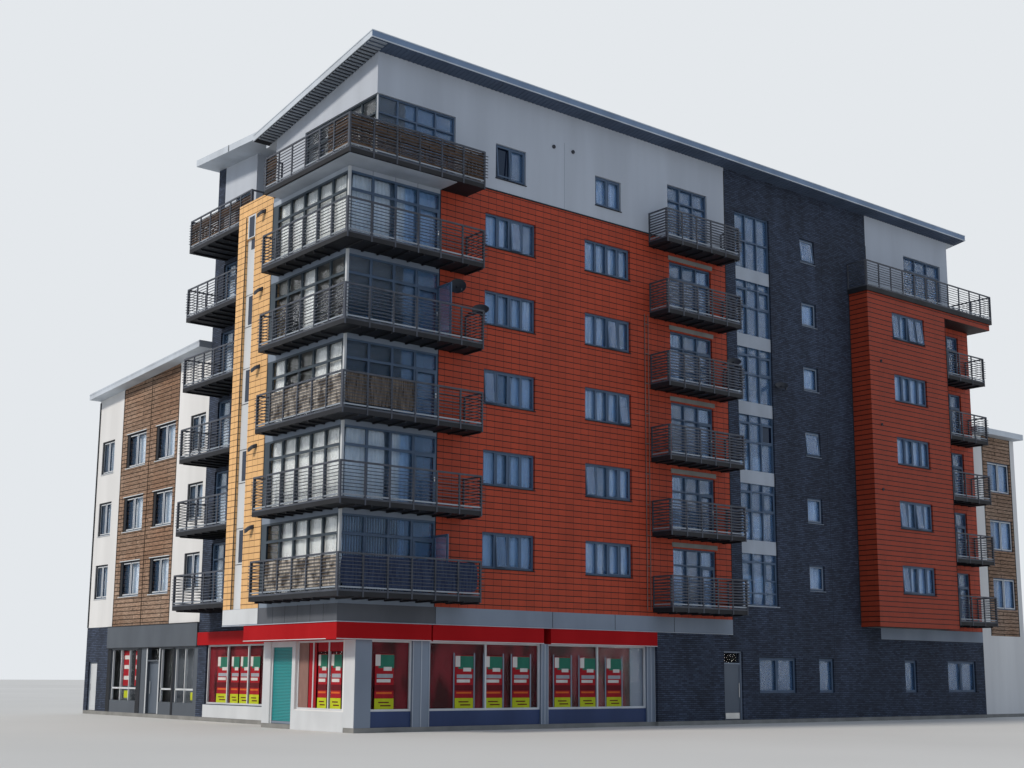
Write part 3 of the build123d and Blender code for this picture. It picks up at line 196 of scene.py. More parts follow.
def surface(tree, base, roughness, height=None, depth=0.002, **sockets):
    """Close a finish: its colour, roughness and bump on one surface shader."""
    inputs = {"Base Color": base, "Roughness": roughness}
    inputs.update({name.replace("_", " "): value for name, value in sockets.items()})
    if height is not None:
        inputs["Normal"] = add(tree, "Bump", {"Distance": depth, "Height": height})
    add(tree, "OutputMaterial", {"Surface": add(tree, "BsdfPrincipled", inputs)}, None)


def elevation(tree, coords):
    """Coordinates that run along a wall and up it, whichever way the wall faces."""
    xyz = add(tree, "SeparateXYZ", {0: coords}, None).outputs
    along = add(tree, "Math", {0: xyz[0], 1: xyz[1]}, operation="ADD")
    return add(tree, "CombineXYZ", {0: along, 1: xyz[2]})


def drift(tree, coords, scale, low, high, stretch=(1, 1, 1), limits=(0.35, 0.7), detail=5.0):
    """Colour that drifts between two in soft patches of about 1 / scale metres, with its noise."""
    place = add(tree, "Mapping", {"Vector": coords, "Scale": stretch})
    noise = add(tree, "TexNoise", {"Vector": place, "Scale": scale, "Detail": detail})
    share = add(tree, "MapRange", {0: noise, 1: limits[0], 2: limits[1]})
    return add(tree, "Mix", {0: share, 6: low, 7: high}, 2, data_type="RGBA"), noise


def toned(base, share):
    """A colour made darker or lighter."""
    return [min(1.0, part * share) for part in base]


def coursed(name, face, alternate, joint, upright, unit, gaps, offset, roughness, depth,
            weather):
    """Masonry in courses: units with their own shade, bed joints and upright joints of their
    own width, and soft weathering."""
    finish, tree, coords = new_finish(name)
    laid = {"Vector": elevation(tree, coords), "Scale": 1.0, "Mortar Smooth": 0.1,
            "Row Height": unit[1]}
    # the beds come from a pattern whose units are longer than any wall
    beds = add(tree, "TexBrick", {**laid, "Brick Width": 400.0, "Mortar Size": gaps[0],
                                  "Color1": face, "Color2": face, "Mortar": joint}, None,
               offset=0.0)
    units = add(tree, "TexBrick", {**laid, "Brick Width": unit[0], "Mortar Size": gaps[1],
                                   "Color1": face, "Color2": alternate, "Mortar": upright},
                None, offset=offset)
    tint, _ = drift(tree, coords, 1.1, [1 - weather] * 3, [1 + weather / 3] * 3, (1, 1, 0.25))
    base = add(tree, "Mix", {0: beds.outputs[1], 6: units.outputs[0], 7: joint}, 2,
               data_type="RGBA")
    base = add(tree, "Mix", {0: 1.0, 6: base, 7: tint}, 2, data_type="RGBA",
               blend_type="MULTIPLY")
    fine = add(tree, "TexNoise", {"Vector": coords, "Scale": 60.0, "Detail": 4.0})
    sunk = add(tree, "Math", {0: beds.outputs[1], 1: units.outputs[1]}, operation="MAXIMUM")
    height = add(tree, "Math", {0: sunk, 1: -1.0, 2: fine}, operation="MULTIPLY_ADD")
    rough = add(tree, "MapRange", {0: fine, 1: 0.3, 2: 0.7, 3: roughness - 0.08,
                                   4: roughness + 0.08})
    surface(tree, base, rough, height, depth, Specular_IOR_Level=0.3)
    return finish


def coated(name, base, roughness, metallic=0.0, dirt=0.18, scale=0.9, sheen=0.35):
    """Painted or coated sheet: an even coat that dust and rain have dulled in soft patches."""
    finish, tree, coords = new_finish(name)
    face, patches = drift(tree, coords, scale, toned(base, 1 - dirt), toned(base, 1 + dirt / 3),
                          (1, 1, 0.4))
    rough = add(tree, "MapRange", {0: patches, 1: 0.35, 2: 0.7, 3: roughness + 0.1,
                                   4: roughness})
    peel = add(tree, "TexNoise", {"Vector": coords, "Scale": 140.0})
    shine = {} if metallic else {"Specular_IOR_Level": sheen}
    surface(tree, face, rough, peel, 0.0002, Metallic=metallic, **shine)
    return finish


def glazed(name, tint, clear, mirror, body=1.0, side=None):
    """Float glass: smooth, with the faint waves of large panes; clear is the share of light
    that goes through, mirror the colour of its reflection, where a blue one is a painted sky
    reflection, and body how far the pane shades what is behind it; side is the same share for the
    clear panes on the side street."""
    finish, tree, coords = new_finish(name)
    if side is not None:
        across = add(tree, "SeparateXYZ", {0: coords})
        body = add(tree, "MapRange", {0: across, 1: SIDE_PANES, 2: SIDE_PANES + 0.1, 3: side,
                                      4: body})
    tone, wave = drift(tree, coords, 0.5, toned(tint, 0.85), tint, detail=2.0)
    surface(tree, tone, 0.03, wave, 0.004, Transmission_Weight=clear, IOR=1.5,
            Specular_Tint=mirror, Alpha=body)
    return finish


def woven(name, low, high):
    """Cloth with an upright thread, drawn far coarser than the real one so that it shows."""
    finish, tree, coords = new_finish(name)
    face, thread = drift(tree, coords, 24.0, linear(low), linear(high), (1, 1, 0.1), (0.3, 0.7),
                         3.0)
    surface(tree, face, 0.9, thread, 0.002, Specular_IOR_Level=0.15)
    return finish


def boarded(name, face, alternate, joint):
    """Horizontal softwood boards, 175 mm, with long fibres and bleached patches; the gaps are
    drawn a little wide so that they show."""
    finish, tree, coords = new_finish(name)
    boards = add(tree, "TexBrick", {"Vector": elevation(tree, coords), "Scale": 1.0,
                                    "Brick Width": 2.7, "Row Height": 0.175,
                                    "Mortar Size": 0.017, "Mortar Smooth": 0.1,
                                    "Color1": face, "Color2": alternate, "Mortar": joint}, None,
                 offset=0.37)
    fibres, grain = drift(tree, coords, 5.0, (0.42, 0.38, 0.36), (1.4, 1.4, 1.42), (1, 1, 11),
                          (0.3, 0.68), 8.0)
    bleach, _ = drift(tree, coords, 0.35, (0.86, 0.7, 0.6), (1.18, 1.15, 1.13))
    wood = boards.outputs[0]
    for layer in (fibres, bleach):
        wood = add(tree, "Mix", {0: 1.0, 6: wood, 7: layer}, 2, data_type="RGBA",
                   blend_type="MULTIPLY")
    ridge = add(tree, "Math", {0: boards.outputs[1], 1: -2.0, 2: grain},
                operation="MULTIPLY_ADD")
    surface(tree, wood, 0.85, ridge, 0.004, Specular_IOR_Level=0.2)
    return finish


FINISH = {}


def make_finishes(colours):
    """Every finish of the block, by the name of its slot or of the small parts it covers."""
    c = {name: list(getattr(colours, name)) for name in BlockColours.__annotations__}
    # fired terracotta rainscreen tiles, 13 courses a storey, smooth and faintly satin, with
    # open joints; on the box the uprights are closed
    tile = {"unit": (0.36, STOREY / 13), "offset": 0.0, "roughness": 0.62, "depth": 0.006}
    FINISH["orange_terracotta"] = coursed(
        "fired terracotta tile", c["terracotta"], toned(c["terracotta"], 0.84),
        linear("2A0F0C"), linear("6A2419"), gaps=(0.015, 0.009), weather=0.1, **tile)
    FINISH["box_terracotta"] = coursed(
        "dark fired terracotta tile", toned(c["terracotta"], 0.74),
        toned(c["terracotta"], 0.66), linear("240D0B"), linear("6B281C"), gaps=(0.019, 0.003),
        weather=0.1, **tile)
    FINISH["ochre_terracotta"] = coursed(
        "fired ochre tile", c["ochre"], toned(c["ochre"], 0.9), linear("6B4A2C"),
        linear("B8905C"), gaps=(0.013, 0.009), weather=0.08, **tile)
    # wire-cut charcoal brick, 225 x 75 mm with dark mortar, matt and uneven in shade; the bed
    # joints are drawn a little wide so that the courses show at this distance
    FINISH["charcoal_brick"] = coursed(
        "charcoal facing brick", c["brick"], toned(c["brick"], 0.45), linear("1E2432"),
        linear("2A303F"), (0.225, 0.075), (0.013, 0.01), 0.5, 0.85, 0.004, 0.3)
    # sponge-finished render, painted: matt, with fine sand and faint rain streaks. The top
    # storey's render is greyer and bluer than the wing's: partly its own paint, partly painted
    # shade of the roof's overhang.
    for slot, name, base in (("white_render", "painted sand render", c["render"]),
                             ("upper_render", "weathered grey render", c["upper"])):
        finish, tree, coords = new_finish(name)
        streaks, _ = drift(tree, coords, 0.8, toned(base, 0.86), base, (1, 1, 0.12))
        sand = add(tree, "TexNoise", {"Vector": coords, "Scale": 220.0, "Detail": 3.0})
        surface(tree, streaks, 0.9, sand, 0.0012, Specular_IOR_Level=0.2)
        FINISH[slot] = finish
    # cast concrete, off the form: matt, with soft grey clouds and pinholes
    finish, tree, coords = new_finish("cast concrete")
    cloud, _ = drift(tree, coords, 1.6, toned(c["concrete"], 0.75), c["concrete"], detail=7.0)
    pores = add(tree, "TexNoise", {"Vector": coords, "Scale": 90.0, "Detail": 5.0})
    surface(tree, cloud, 0.88, pores, 0.0015, Specular_IOR_Level=0.25)
    FINISH["concrete"] = finish
    # polyester powder coat on aluminium: even, satin, a little chalky outdoors
    for slot, name, base, rough in (
            ("grey_frame", "powder coated frame", "frames", 0.42),
            ("pale_frame", "white coated frame", "pale", 0.45),
            ("grey_panel", "coated cladding panel", "panel", 0.5),
            ("dark_fascia", "charcoal coated fascia", "dark", 0.45)):
        FINISH[slot] = coated(name, c[base], rough, dirt=0.12)
    # the same coat, paint and plastic on the small parts, a little dirtier
    for slot, name, code, rough in (
            ("pale_panel", "pale cladding panel", "A9B2BE", 0.5),
            # the blue grey of the front fascia plate is painted shade and painted sky reflection
            # on the pale roof metal
            ("shaded_edge_panel", "blue grey folded edge", "7389A6", 0.45),
            ("joint", "dark rubber joint", "22252B", 0.8),
            ("side_frame", "grey coated frame", "37444F", 0.45),
            ("soffit", "coated soffit sheet", "48566C", 0.6),
            ("pipe", "stained plastic pipe", "80605A", 0.55),
            # the darker grey of the band under the bay is painted shade of the balcony above
            ("stained_panel", "stained panel", "565A62", 0.6),
            ("navy_panel", "navy coated panel", "263B66", 0.45),
            ("door_metal", "coated steel door", "5C6673", 0.4),
            ("dish_metal", "dark coated dish", "2C313B", 0.5),
            ("vane", "grained vinyl blind vane", "B4C4D6", 0.6)):
        FINISH[slot] = coated(name, linear(code), rough)
    FINISH["red_fascia"] = coated("red coated fascia", c["fascia"], 0.6, dirt=0.1, sheen=0.1)
    FINISH["rail_metal"] = coated("painted steel rail", c["rails"], 0.45, dirt=0.3, scale=3.0)
    FINISH["deck_metal"] = coated("painted steel deck", c["decks"], 0.6, dirt=0.35)
    # zinc-coated and mill-finish sheet: metal, dulled to a soft grey by weather
    FINISH["roof_metal"] = coated("weathered aluminium sheet", c["roof"], 0.55, metallic=0.25)
    FINISH["kerb_metal"] = coated("galvanised channel", linear("9098A2"), 0.5, metallic=0.3)
    FINISH["handle_metal"] = coated("brushed steel handle", linear("C9CBCC"), 0.3, metallic=1.0)
    # roller shutter of formed and painted steel slats, 77 mm high; the darker half of each slat is
    # painted shade in its fold
    finish, tree, coords = new_finish("painted shutter slat")
    slats = add(tree, "TexWave", {"Vector": coords, "Scale": 1 / 0.077 / 2}, 1,
                wave_type="BANDS", bands_direction="Z")
    face = add(tree, "Mix", {0: slats, 6: toned(c["shutter"], 0.5), 7: c["shutter"]}, 2,
               data_type="RGBA")
    surface(tree, face, 0.45, slats, 0.012)
    FINISH["teal_shutter"] = finish
    # softwood, greyed and stained by weather; the slats are thinner and darker with oil
    FINISH["weathered_timber"] = boarded("weathered softwood board", c["timber"],
                                         toned(c["timber"], 1.35), linear("1B1613"))
    FINISH["slat_timber"] = boarded("oiled timber slat", toned(c["timber"], 0.62),
                                    toned(c["timber"], 0.36), linear("1B1613"))
    # float glass: blue in the flats, a painted sky reflection and painted blue shade on the rooms
    # behind; clear in the shops and at the side; and an unlit room seen through open lights, whose
    # dark navy is painted shade
    FINISH["window_glass"] = glazed("coated float glass", c["glass"], 0.72, linear("C2DAF7"),
                                    0.62, 0.2)
    FINISH["clear_glass"] = glazed("clear float glass", linear("EAF1F4"), 0.97,
                                   linear("FFFFFF"), 0.05)
    FINISH["side_glass"] = glazed("pale float glass", linear("E2EDF4"), 0.95, linear("FFFFFF"),
                                  0.18)
    # dark navy pane: painted shade of an unlit room, with a painted sky blue reflection
    FINISH["dark_glass"] = glazed("float glass before an unlit room", linear("162036"), 0.1,
                                  linear("A9CBF2"))
    # woven cloths: pale curtain lining, a brown cover and a blue windbreak
    FINISH["curtain"] = woven("woven curtain lining", "D2D8DA", "F4F5F2")
    FINISH["brown_cloth"] = woven("woven brown cover", "3A322E", "8C8074")
    FINISH["windbreak"] = woven("woven windbreak sheet", "2B3550", "46526C")
    # split reed fencing tied to the rails: dry, pale and uneven, with torn and shaded patches
    finish, tree, coords = new_finish("split reed screen")
    reeds, stalk = drift(tree, elevation(tree, coords), 14.0, linear("93877A"),
                         linear("D6CEC2"), (1, 0.12, 1), (0.3, 0.7))
    torn_and_shaded, _ = drift(tree, coords, 2.6, (0.25, 0.23, 0.22), (1.0, 1.0, 1.0),
                    limits=(0.42, 0.56))
    screen = add(tree, "Mix", {0: 1.0, 6: reeds, 7: torn_and_shaded}, 2, data_type="RGBA",
                 blend_type="MULTIPLY")
    surface(tree, screen, 0.9, stalk, 0.01, Specular_IOR_Level=0.15)
    FINISH["reed"] = finish
    # printed paper and vinyl sheets in the shop windows: even ink with a low sheen
    for name, code in (("red", "9C1A24"), ("cream", "CFCCC8"), ("green", "2C6E5C"),
                       ("grey", "9AA0A8"), ("lime", "B9C226"), ("orange", "D2622B"),
                       ("maroon", "5E141C"), ("brown", "8C6E66")):
        FINISH["print_" + name] = coated(name + " printed sheet", linear(code), 0.6, dirt=0.12,
                                         scale=4.0, sheen=0.15)
    # unlit shop behind its glass: a dark red sheet that is painted shade of the unlit room, with
    # soft painted shapes of racks and doorways
    finish, tree, coords = new_finish("dim painted shop wall")
    racks, _ = drift(tree, coords, 1.3, linear("360A10"), linear("75202A"), (1, 1, 0.5),
                     (0.42, 0.6), 3.0)
    surface(tree, racks, 0.8, Specular_IOR_Level=0.15)
    FINISH["shop_dark"] = finish


def select(piece=None):
    """Select only this piece, or nothing."""
    bpy.ops.object.select_all(action="DESELECT")
    if piece:
        piece.select_set(True)
        bpy.context.view_layer.objects.active = piece


def settle(name):
    """Name the object in hand, apply its placing and open it with all its corners selected."""
    piece = bpy.context.object
    piece.name = piece.data.name = name
    bpy.ops.object.transform_apply(location=True, rotation=True, scale=True)
    bpy.ops.object.mode_set(mode="EDIT")
    bpy.ops.mesh.select_all(action="SELECT")
    return piece


def begin(name, spans):
    """Start a piece with a block for each span; leaves edit mode on."""
    select()
    piece = None
    for x0, x1, y0, y1, z0, z1 in spans:
        middle = at((x0 + x1) / 2, (y0 + y1) / 2, (z0 + z1) / 2)
        bpy.ops.mesh.primitive_cube_add(size=1, location=middle,
                                        scale=(x1 - x0, y1 - y0, z1 - z0))
        piece = piece or settle(name)
    bpy.ops.mesh.select_all(action="SELECT")
    return piece


def modify(piece, kind, **settings):
    """Add a modifier, set it up and apply it."""
    change = piece.modifiers.new(kind.lower(), kind)
    for name, value in settings.items():
        setattr(change, name, value)
    bpy.context.view_layer.objects.active = piece
    bpy.ops.object.modifier_apply(modifier=change.name)
    return piece


def end(piece, finish, body="building", soften=0.0, smooth=None):
    """Close a piece: outward faces, softened edges, its finish and the body it rides on."""
    bpy.ops.mesh.select_all(action="SELECT")
    bpy.ops.mesh.normals_make_consistent(inside=False)
    bpy.ops.object.mode_set(mode="OBJECT")
    if soften:
        modify(piece, "BEVEL", width=soften, segments=1, limit_method="ANGLE")
    if smooth:
        bpy.ops.object.shade_smooth_by_angle(angle=radians(smooth))
    piece.data.materials.append(FINISH[finish])
    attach(piece, body)
    return piece


def blocks(name, spans, finish, soften=0.004, body="building"):
    """A piece of plain blocks with softened edges."""
    return end(begin(name, spans), finish, body, soften)


def lay(finish, soften, **pieces):
    """Pieces of plain blocks that share a finish, by name."""
    for name, spans in pieces.items():
        blocks(name, spans, finish, soften)


def row(piece, count, step):
    """Repeat a piece in its own mesh, each copy a step further on."""
    return modify(piece, "ARRAY", count=count, use_relative_offset=False,
                  use_constant_offset=True, constant_offset_displace=step)


def repeat(piece, name, shift):
    """Copy of a finished piece with its own mesh, moved by a shift."""
    select(piece)
    bpy.ops.object.duplicate(linked=False)
    twin = bpy.context.object
    bpy.ops.transform.translate(value=shift)
    bpy.ops.object.transform_apply(location=True, rotation=True, scale=True)
    twin.name = twin.data.name = name
    return twin


def storeys(piece, count, name):
    """Copies of a piece on the floors above it."""
    for n in range(1, count):
        repeat(piece, f"{name}_{n + 1}", (0, 0, n * STOREY))


def tiers(count, make, name, *rest, **options):
    """A piece that one of the functions here makes, and its copies on the floors above."""
    storeys(make(name + "_1", *rest, **options), count, name)


def choose(piece, test):
    """Select the corners of a piece whose place passes a test; leaves edit mode on."""
    bpy.ops.object.mode_set(mode="OBJECT")
    for items in (piece.data.polygons, piece.data.edges):
        for item in items:
            item.select = False
    for corner in piece.data.vertices:
        corner.select = bool(test(corner.co))
    bpy.ops.object.mode_set(mode="EDIT")
    bpy.ops.mesh.select_mode(type="VERT")


def sloped(name, spans, split, drop, finish, soften):
    """Blocks that run back from the eaves: the corners past the split are moved by the drop."""
    piece = begin(name, spans)
    choose(piece, lambda place: place.y > at(0, split, 0).y)
    bpy.ops.transform.translate(value=(0, 0, drop))
    return end(piece, finish, soften=soften)


def draw_out(value):
    """Extrude what is selected."""
    bpy.ops.mesh.extrude_region_move(TRANSFORM_OT_translate={"value": value})


def sheets(name, panes, facing):
    """Upright planes for panes, as one mesh in edit mode."""
    select()
    piece = None
    for a0, a1, plane, z0, z1 in panes:
        middle = (a0 + a1) / 2
        if facing == "side":
            place, turn = at(plane, middle, (z0 + z1) / 2), (pi / 2, 0, pi / 2)
        else:
            place, turn = at(middle, plane, (z0 + z1) / 2), (pi / 2, 0, 0)
        bpy.ops.mesh.primitive_plane_add(size=1, location=place, rotation=turn)
        piece = piece or settle(name)
        wide = (1, a1 - a0) if facing == "side" else (a1 - a0, 1)
        bpy.ops.transform.resize(value=(*wide, z1 - z0), center_override=place)
    bpy.ops.mesh.select_all(action="SELECT")
    return piece


def swing(piece, panes, facing, lean):
    """Push the lower half of each pane's corners out by the lean."""
    if lean:
        middle = (panes[0][3] + panes[0][4]) / 2
        choose(piece, lambda place: place.z < middle)
        bpy.ops.transform.translate(value=OUT[facing] * lean)


def rings(name, panes, width, depth, finish, facing="front", body="building", lean=0.0):
    """Frames round panes: each pane is inset, its middle is taken out and the ring is drawn out
    by the depth; lean swings the foot of the rings out, as on a top-hung sash."""
    piece = sheets(name, panes, facing)
    bpy.ops.mesh.inset(thickness=width, depth=0, use_individual=True, use_even_offset=True)
    bpy.ops.mesh.delete(type="FACE")
    bpy.ops.mesh.select_all(action="SELECT")
    draw_out(OUT[facing] * depth)
    swing(piece, panes, facing, lean)
    return end(piece, finish, body, 0.003)


def lights(name, panes, finish, facing="front", lean=0.0):
    """Thin panes of glass or board, 6 mm thick, with ground edges."""
    piece = sheets(name, panes, facing)
    draw_out(OUT[facing] * 0.006)
    swing(piece, panes, facing, lean)
    return end(piece, finish, soften=0.001)


def panes_of(x0, x1, z0, z1, columns, plane):
    """Clear openings of a row of lights, as the frames divide them."""
    wide = (x1 - x0 - BAR) / columns
    return [(x0 + BAR + n * wide, x0 + (n + 1) * wide, plane, z0, z1) for n in range(columns)]


def pleated(name, a0, a1, plane, z0, z1, pitch, deep=0.035, facing="front", finish="curtain",
            levels=(0,)):
    """Cloth in upright folds: one pleat is extruded to and fro, repeated across the opening and
    rounded; levels are the floors that get the same cloth."""
    along, out = ALONG[facing], OUT[facing] * deep
    count = max(1, round((a1 - a0) / pitch))
    step = (a1 - a0) / count
    piece = sheets(name, [(a0, a0 + step / 4, plane, z0, z1)], facing)
    far = (at(0, 0, 0) + along * (a0 + step / 8)).dot(along)
    choose(piece, lambda place: place.dot(along) > far)
    bpy.ops.transform.translate(value=out)
    draw_out(along * step / 2 - 2 * out)
    draw_out(along * step / 4 + out)
    bpy.ops.object.mode_set(mode="OBJECT")
    modify(piece, "ARRAY", count=count, use_relative_offset=False, use_constant_offset=True,
           constant_offset_displace=along * step, use_merge_vertices=True, merge_threshold=0.001)
    modify(piece, "SUBSURF", levels=1, render_levels=1)
    select(piece)
    bpy.ops.object.shade_smooth()
    piece.data.materials.append(FINISH[finish])
    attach(piece, "building")
    hung = [repeat(piece, f"{name}_{n}", (0, 0, n * STOREY)) for n in levels if n != levels[0]]


class BLOCK_OT_stage(bpy.types.Operator):
    """Floor, soft daylight and the camera at the viewpoint across the junction."""
    bl_idname = "block.stage"
    bl_label = "Stage, light and camera"

    def execute(self, context):
        scene = context.scene
        scene.view_settings.view_transform = "Standard"
        select()
        bpy.ops.mesh.primitive_plane_add(size=600, location=(0, 0, 0))
        floor = context.object
        floor.name = "floor"
        finish, tree, coords = new_finish("pale studio floor")
        pale, _ = drift(tree, coords, 0.05, linear("C9C9C6"), linear("D2D2CF"), detail=3.0)
        surface(tree, pale, 0.9)
        floor.data.materials.append(finish)
        world = bpy.data.worlds.new("studio")
        scene.world = world
        world.use_nodes = True
        tree = world.node_tree
        tree.nodes.clear()
        # a pale plain backdrop, and a cooler and softer light from it
        rays = add(tree, "LightPath", out=None).outputs
        seen = add(tree, "Math", {0: rays["Is Camera Ray"], 1: rays["Is Glossy Ray"]},
                   operation="MAXIMUM")
        seen = add(tree, "Math", {0: seen, 1: rays["Is Transmission Ray"]}, operation="MAXIMUM")
        light = add(tree, "Background", {"Color": linear("CFDCF0"), "Strength": 0.6})
        back = add(tree, "Background", {"Color": linear("E4E8EC"), "Strength": 1.0})
        add(tree, "OutputWorld", {0: add(tree, "MixShader", {0: seen, 1: light, 2: back})},
            None)
        bpy.ops.object.light_add(type="SUN")
        sun = context.object
        sun.name = "key"
        sun.data.energy, sun.data.angle = 2.35, radians(9)
        sun.data.color = linear("FFF6EA")
        sun.rotation_euler = Vector((-0.80, 0.10, 0.60)).to_track_quat("Z", "Y").to_euler()
        bpy.ops.object.camera_add()
        camera = context.object
        camera.name = "viewpoint"
        camera.matrix_world = (Matrix.Translation((-40.4985, -43.4121, 1.782))
                               @ Matrix.Rotation(radians(-39.0494), 4, "Z")
                               @ Matrix.Rotation(radians(90 + 10.1762), 4, "X")
                               @ Matrix.Rotation(radians(0.3636), 4, "Z"))
        camera.data.lens, camera.data.sensor_width = 48.96, 36
        camera.data.shift_y = 0.0404
        camera.data.clip_start, camera.data.clip_end = 0.5, 600
        scene.camera = camera
        return {"FINISHED"}


class BLOCK_OT_finishes(bpy.types.Operator):
    """Make the finishes and give each solid of the frame its own."""
    bl_idname = "block.finishes"
    bl_label = "Finishes"

    def execute(self, context):
        make_finishes(context.scene.block_colours)
        own = {"slot_window": "pale_frame", "penthouse_front_walls": "upper_render",
               "penthouse_side_walls": "upper_render", "shop_glass": "clear_glass",
               "bay_side_glass": "side_glass", "bay_side_frames": "side_frame",
               "box_walls": "box_terracotta", "shopfront_frames": "pale_frame",
               "wing_end_door": "pale_frame", "door_frames": "grey_panel"}
        for part in frame["record"]["subparts"]:
            node = frame["nodes"][part["node"]]
            finish = FINISH[own.get(part["node"], part["material_slot"])]
            if not node.material_slots:
                node.data.materials.append(finish)
            for slot in node.material_slots:
                slot.material = finish
        return {"FINISHED"}


class BLOCK_OT_windows(bpy.types.Operator):
    """Sashes, glazing beads and sills of the punched windows, some sashes open."""
    bl_idname = "block.windows"
    bl_label = "Window sashes and sills"

    def execute(self, context):
        s = context.scene.block_sizes
        z0, z1 = level(0) + SILL + BAR, level(0) + HEAD - BAR
        low, high = level(0) + WING_SILL, level(0) + WING_HEAD
        first, second = (panes_of(*pair, z0, z1, 4, REVEAL) for pair in FRONT_WINDOWS)
        box = panes_of(*BOX_WINDOW, z0, z1, 4, BOX_FRONT + REVEAL)
        small = panes_of(*SMALL_WINDOW, level(0) + SMALL_SILL + BAR,
                         level(0) + SMALL_HEAD - BAR, 1, REVEAL)
        wing = [pane for pair in WING_WINDOWS
                for pane in panes_of(*pair, low + BAR, high - BAR, 2, WING_FACE + REVEAL)]
        far = panes_of(*FAR_WINDOW, low + BAR, high - BAR, 2, FAR_FACE + REVEAL)
        rear = [pane for pair in REAR_WINDOWS
                for pane in panes_of(*pair, z0, z1, 2, REAR_FACE - REVEAL)]
        closed = first[1:3] + second[2:4] + box[1::2]
        beads = [pane for pane in first + second + box if pane not in closed]
        for name, panes, width, depth, finish, facing, floors in (
                ("sashes", closed, s.sash, SASH_DEPTH, "grey_frame", "front", LEVELS),
                ("beads", beads, s.bead, 0.008, "grey_frame", "front", LEVELS),
                ("small_sash", small, s.sash, SASH_DEPTH, "grey_panel", "front", LEVELS + 1),
                ("wing_sashes", wing, s.sash, SASH_DEPTH, "pale_frame", "side", WING_LEVELS),
                ("far_sashes", far, s.sash, SASH_DEPTH, "pale_frame", "front", WING_LEVELS),
                ("rear_sashes", rear, s.sash, SASH_DEPTH, "grey_frame", "rear", LEVELS)):
            tiers(floors, rings, name, panes, width, depth, finish, facing)
        ground = [pane for x0, x1 in GROUND_WINDOWS
                  for pane in panes_of(x0, x1, GROUND_SILL + BAR, GROUND_HEAD - BAR,
                                       2 if x1 - x0 > 1.5 else 1, REVEAL)]
        rings("ground_sashes", ground, s.sash, SASH_DEPTH, "grey_frame")
        self.sills(s, z0 - BAR, low, high)
        open_lights = [(first, 2, 4), (first, 0, 2), (first, 1, 0), (second, 2, 3),
                       (second, 3, 2), (second, 0, 1), (box, 0, 4), (box, 2, 4), (box, 3, 4),
                       (box, 0, 1), (box, 2, 1), (box, 0, 0), (small, 0, 5), (small, 0, 2)]
        for n, (window, light, storey) in enumerate(open_lights, 1):
            a0, a1, plane, z0, z1 = window[light]
            z0, z1 = z0 + storey * STOREY, z1 + storey * STOREY
            # a dark pane behind each open sash is painted shade of the room
            lights(f"open_room_{n}", [(a0, a1, plane + 0.062, z0, z1)], "dark_glass")
            rings(f"open_sash_{n}", [(a0, a1, plane + 0.026, z0, z1)], s.sash, OPEN_DEPTH,
                  "grey_frame", lean=s.tilt)
            lights(f"open_pane_{n}", [(a0 + s.sash, a1 - s.sash, plane + 0.018, z0 + s.sash,
                                       z1 - s.sash)], "window_glass", lean=s.tilt)
        self.top(s)
        return {"FINISHED"}

    def sills(self, s, foot, low, high):
        """Sills and hoods, and the dark lining strips of the wing's deep reveals, their dark
        partly a dark coat and partly painted shade.
        """
        nose, back = -s.sill, REVEAL + 0.005
        sills = [(x0 - 0.02, x1 + 0.02, nose, back, foot - SILL_THICK, foot)
                 for x0, x1 in FRONT_WINDOWS]
        sills.append((BOX_WINDOW[0] - 0.02, BOX_WINDOW[1] + 0.02, BOX_FRONT + nose,
                      BOX_FRONT + back, foot - SILL_THICK, foot))
        tiers(LEVELS, blocks, "sills", sills, "joint")
        x0, x1 = SMALL_WINDOW
        small = [(x0 - 0.02, x1 + 0.02, nose, back, level(0) + SMALL_SILL - SILL_THICK,
                  level(0) + SMALL_SILL)]
        tiers(LEVELS + 1, blocks, "small_sill", small, "grey_panel")
        face = (WING_FACE + nose, WING_FACE + back)
        edges = [(*face, y0 - 0.04, y1 + 0.04, z, z + 0.035)
                 for y0, y1 in WING_WINDOWS[1:3] for z in (low - 0.035, high)]
        edges += [(*face, y0 - 0.02, y1 + 0.02, low - SILL_THICK, low)
                  for y0, y1 in WING_WINDOWS[::3]]
        tiers(WING_LEVELS, blocks, "wing_sills", edges, "pale_frame")
        # dark strips on the visible jamb and head: partly a dark coat, partly painted shade of the
        # reveal
        shaded_linings = []
        for (y0, y1), wide in zip(WING_WINDOWS, (0.1, 0.22, 0.22, 0.1)):
            shaded_linings += [(WING_FACE + 0.03, WING_FACE + 0.06, y1 - wide, y1, low, high),
                        (WING_FACE + 0.03, WING_FACE + 0.06, y0, y1 - wide, high - 0.05, high)]
        tiers(WING_LEVELS, blocks, "wing_linings", shaded_linings, "joint")
        blocks("top_sills", [(x0 - 0.02, x1 + 0.02, nose, back,
                              TOP_FLOOR + sill - SILL_THICK, TOP_FLOOR + sill)
                             for x0, x1, sill, _ in TOP_WINDOWS], "joint")

    def top(self, s):
        """Windows of the top storey, one light open."""
        panes = [pane for x0, x1, low, high in TOP_WINDOWS
                 for pane in panes_of(x0, x1, TOP_FLOOR + low + BAR, TOP_FLOOR + high - BAR, 2,
                                      REVEAL)]
        rings("top_sashes", panes[1:], s.sash, SASH_DEPTH, "grey_frame")
        a0, a1, _, z0, z1 = panes[0]
        # a dark pane behind the open sash is painted shade of the room
        lights("top_open_room", [(a0, a1, 0.142, z0, z1)], "dark_glass")
        rings("top_open_sash", [(a0, a1, 0.076, z0, z1)], s.sash, OPEN_DEPTH, "grey_frame",
              lean=s.tilt)


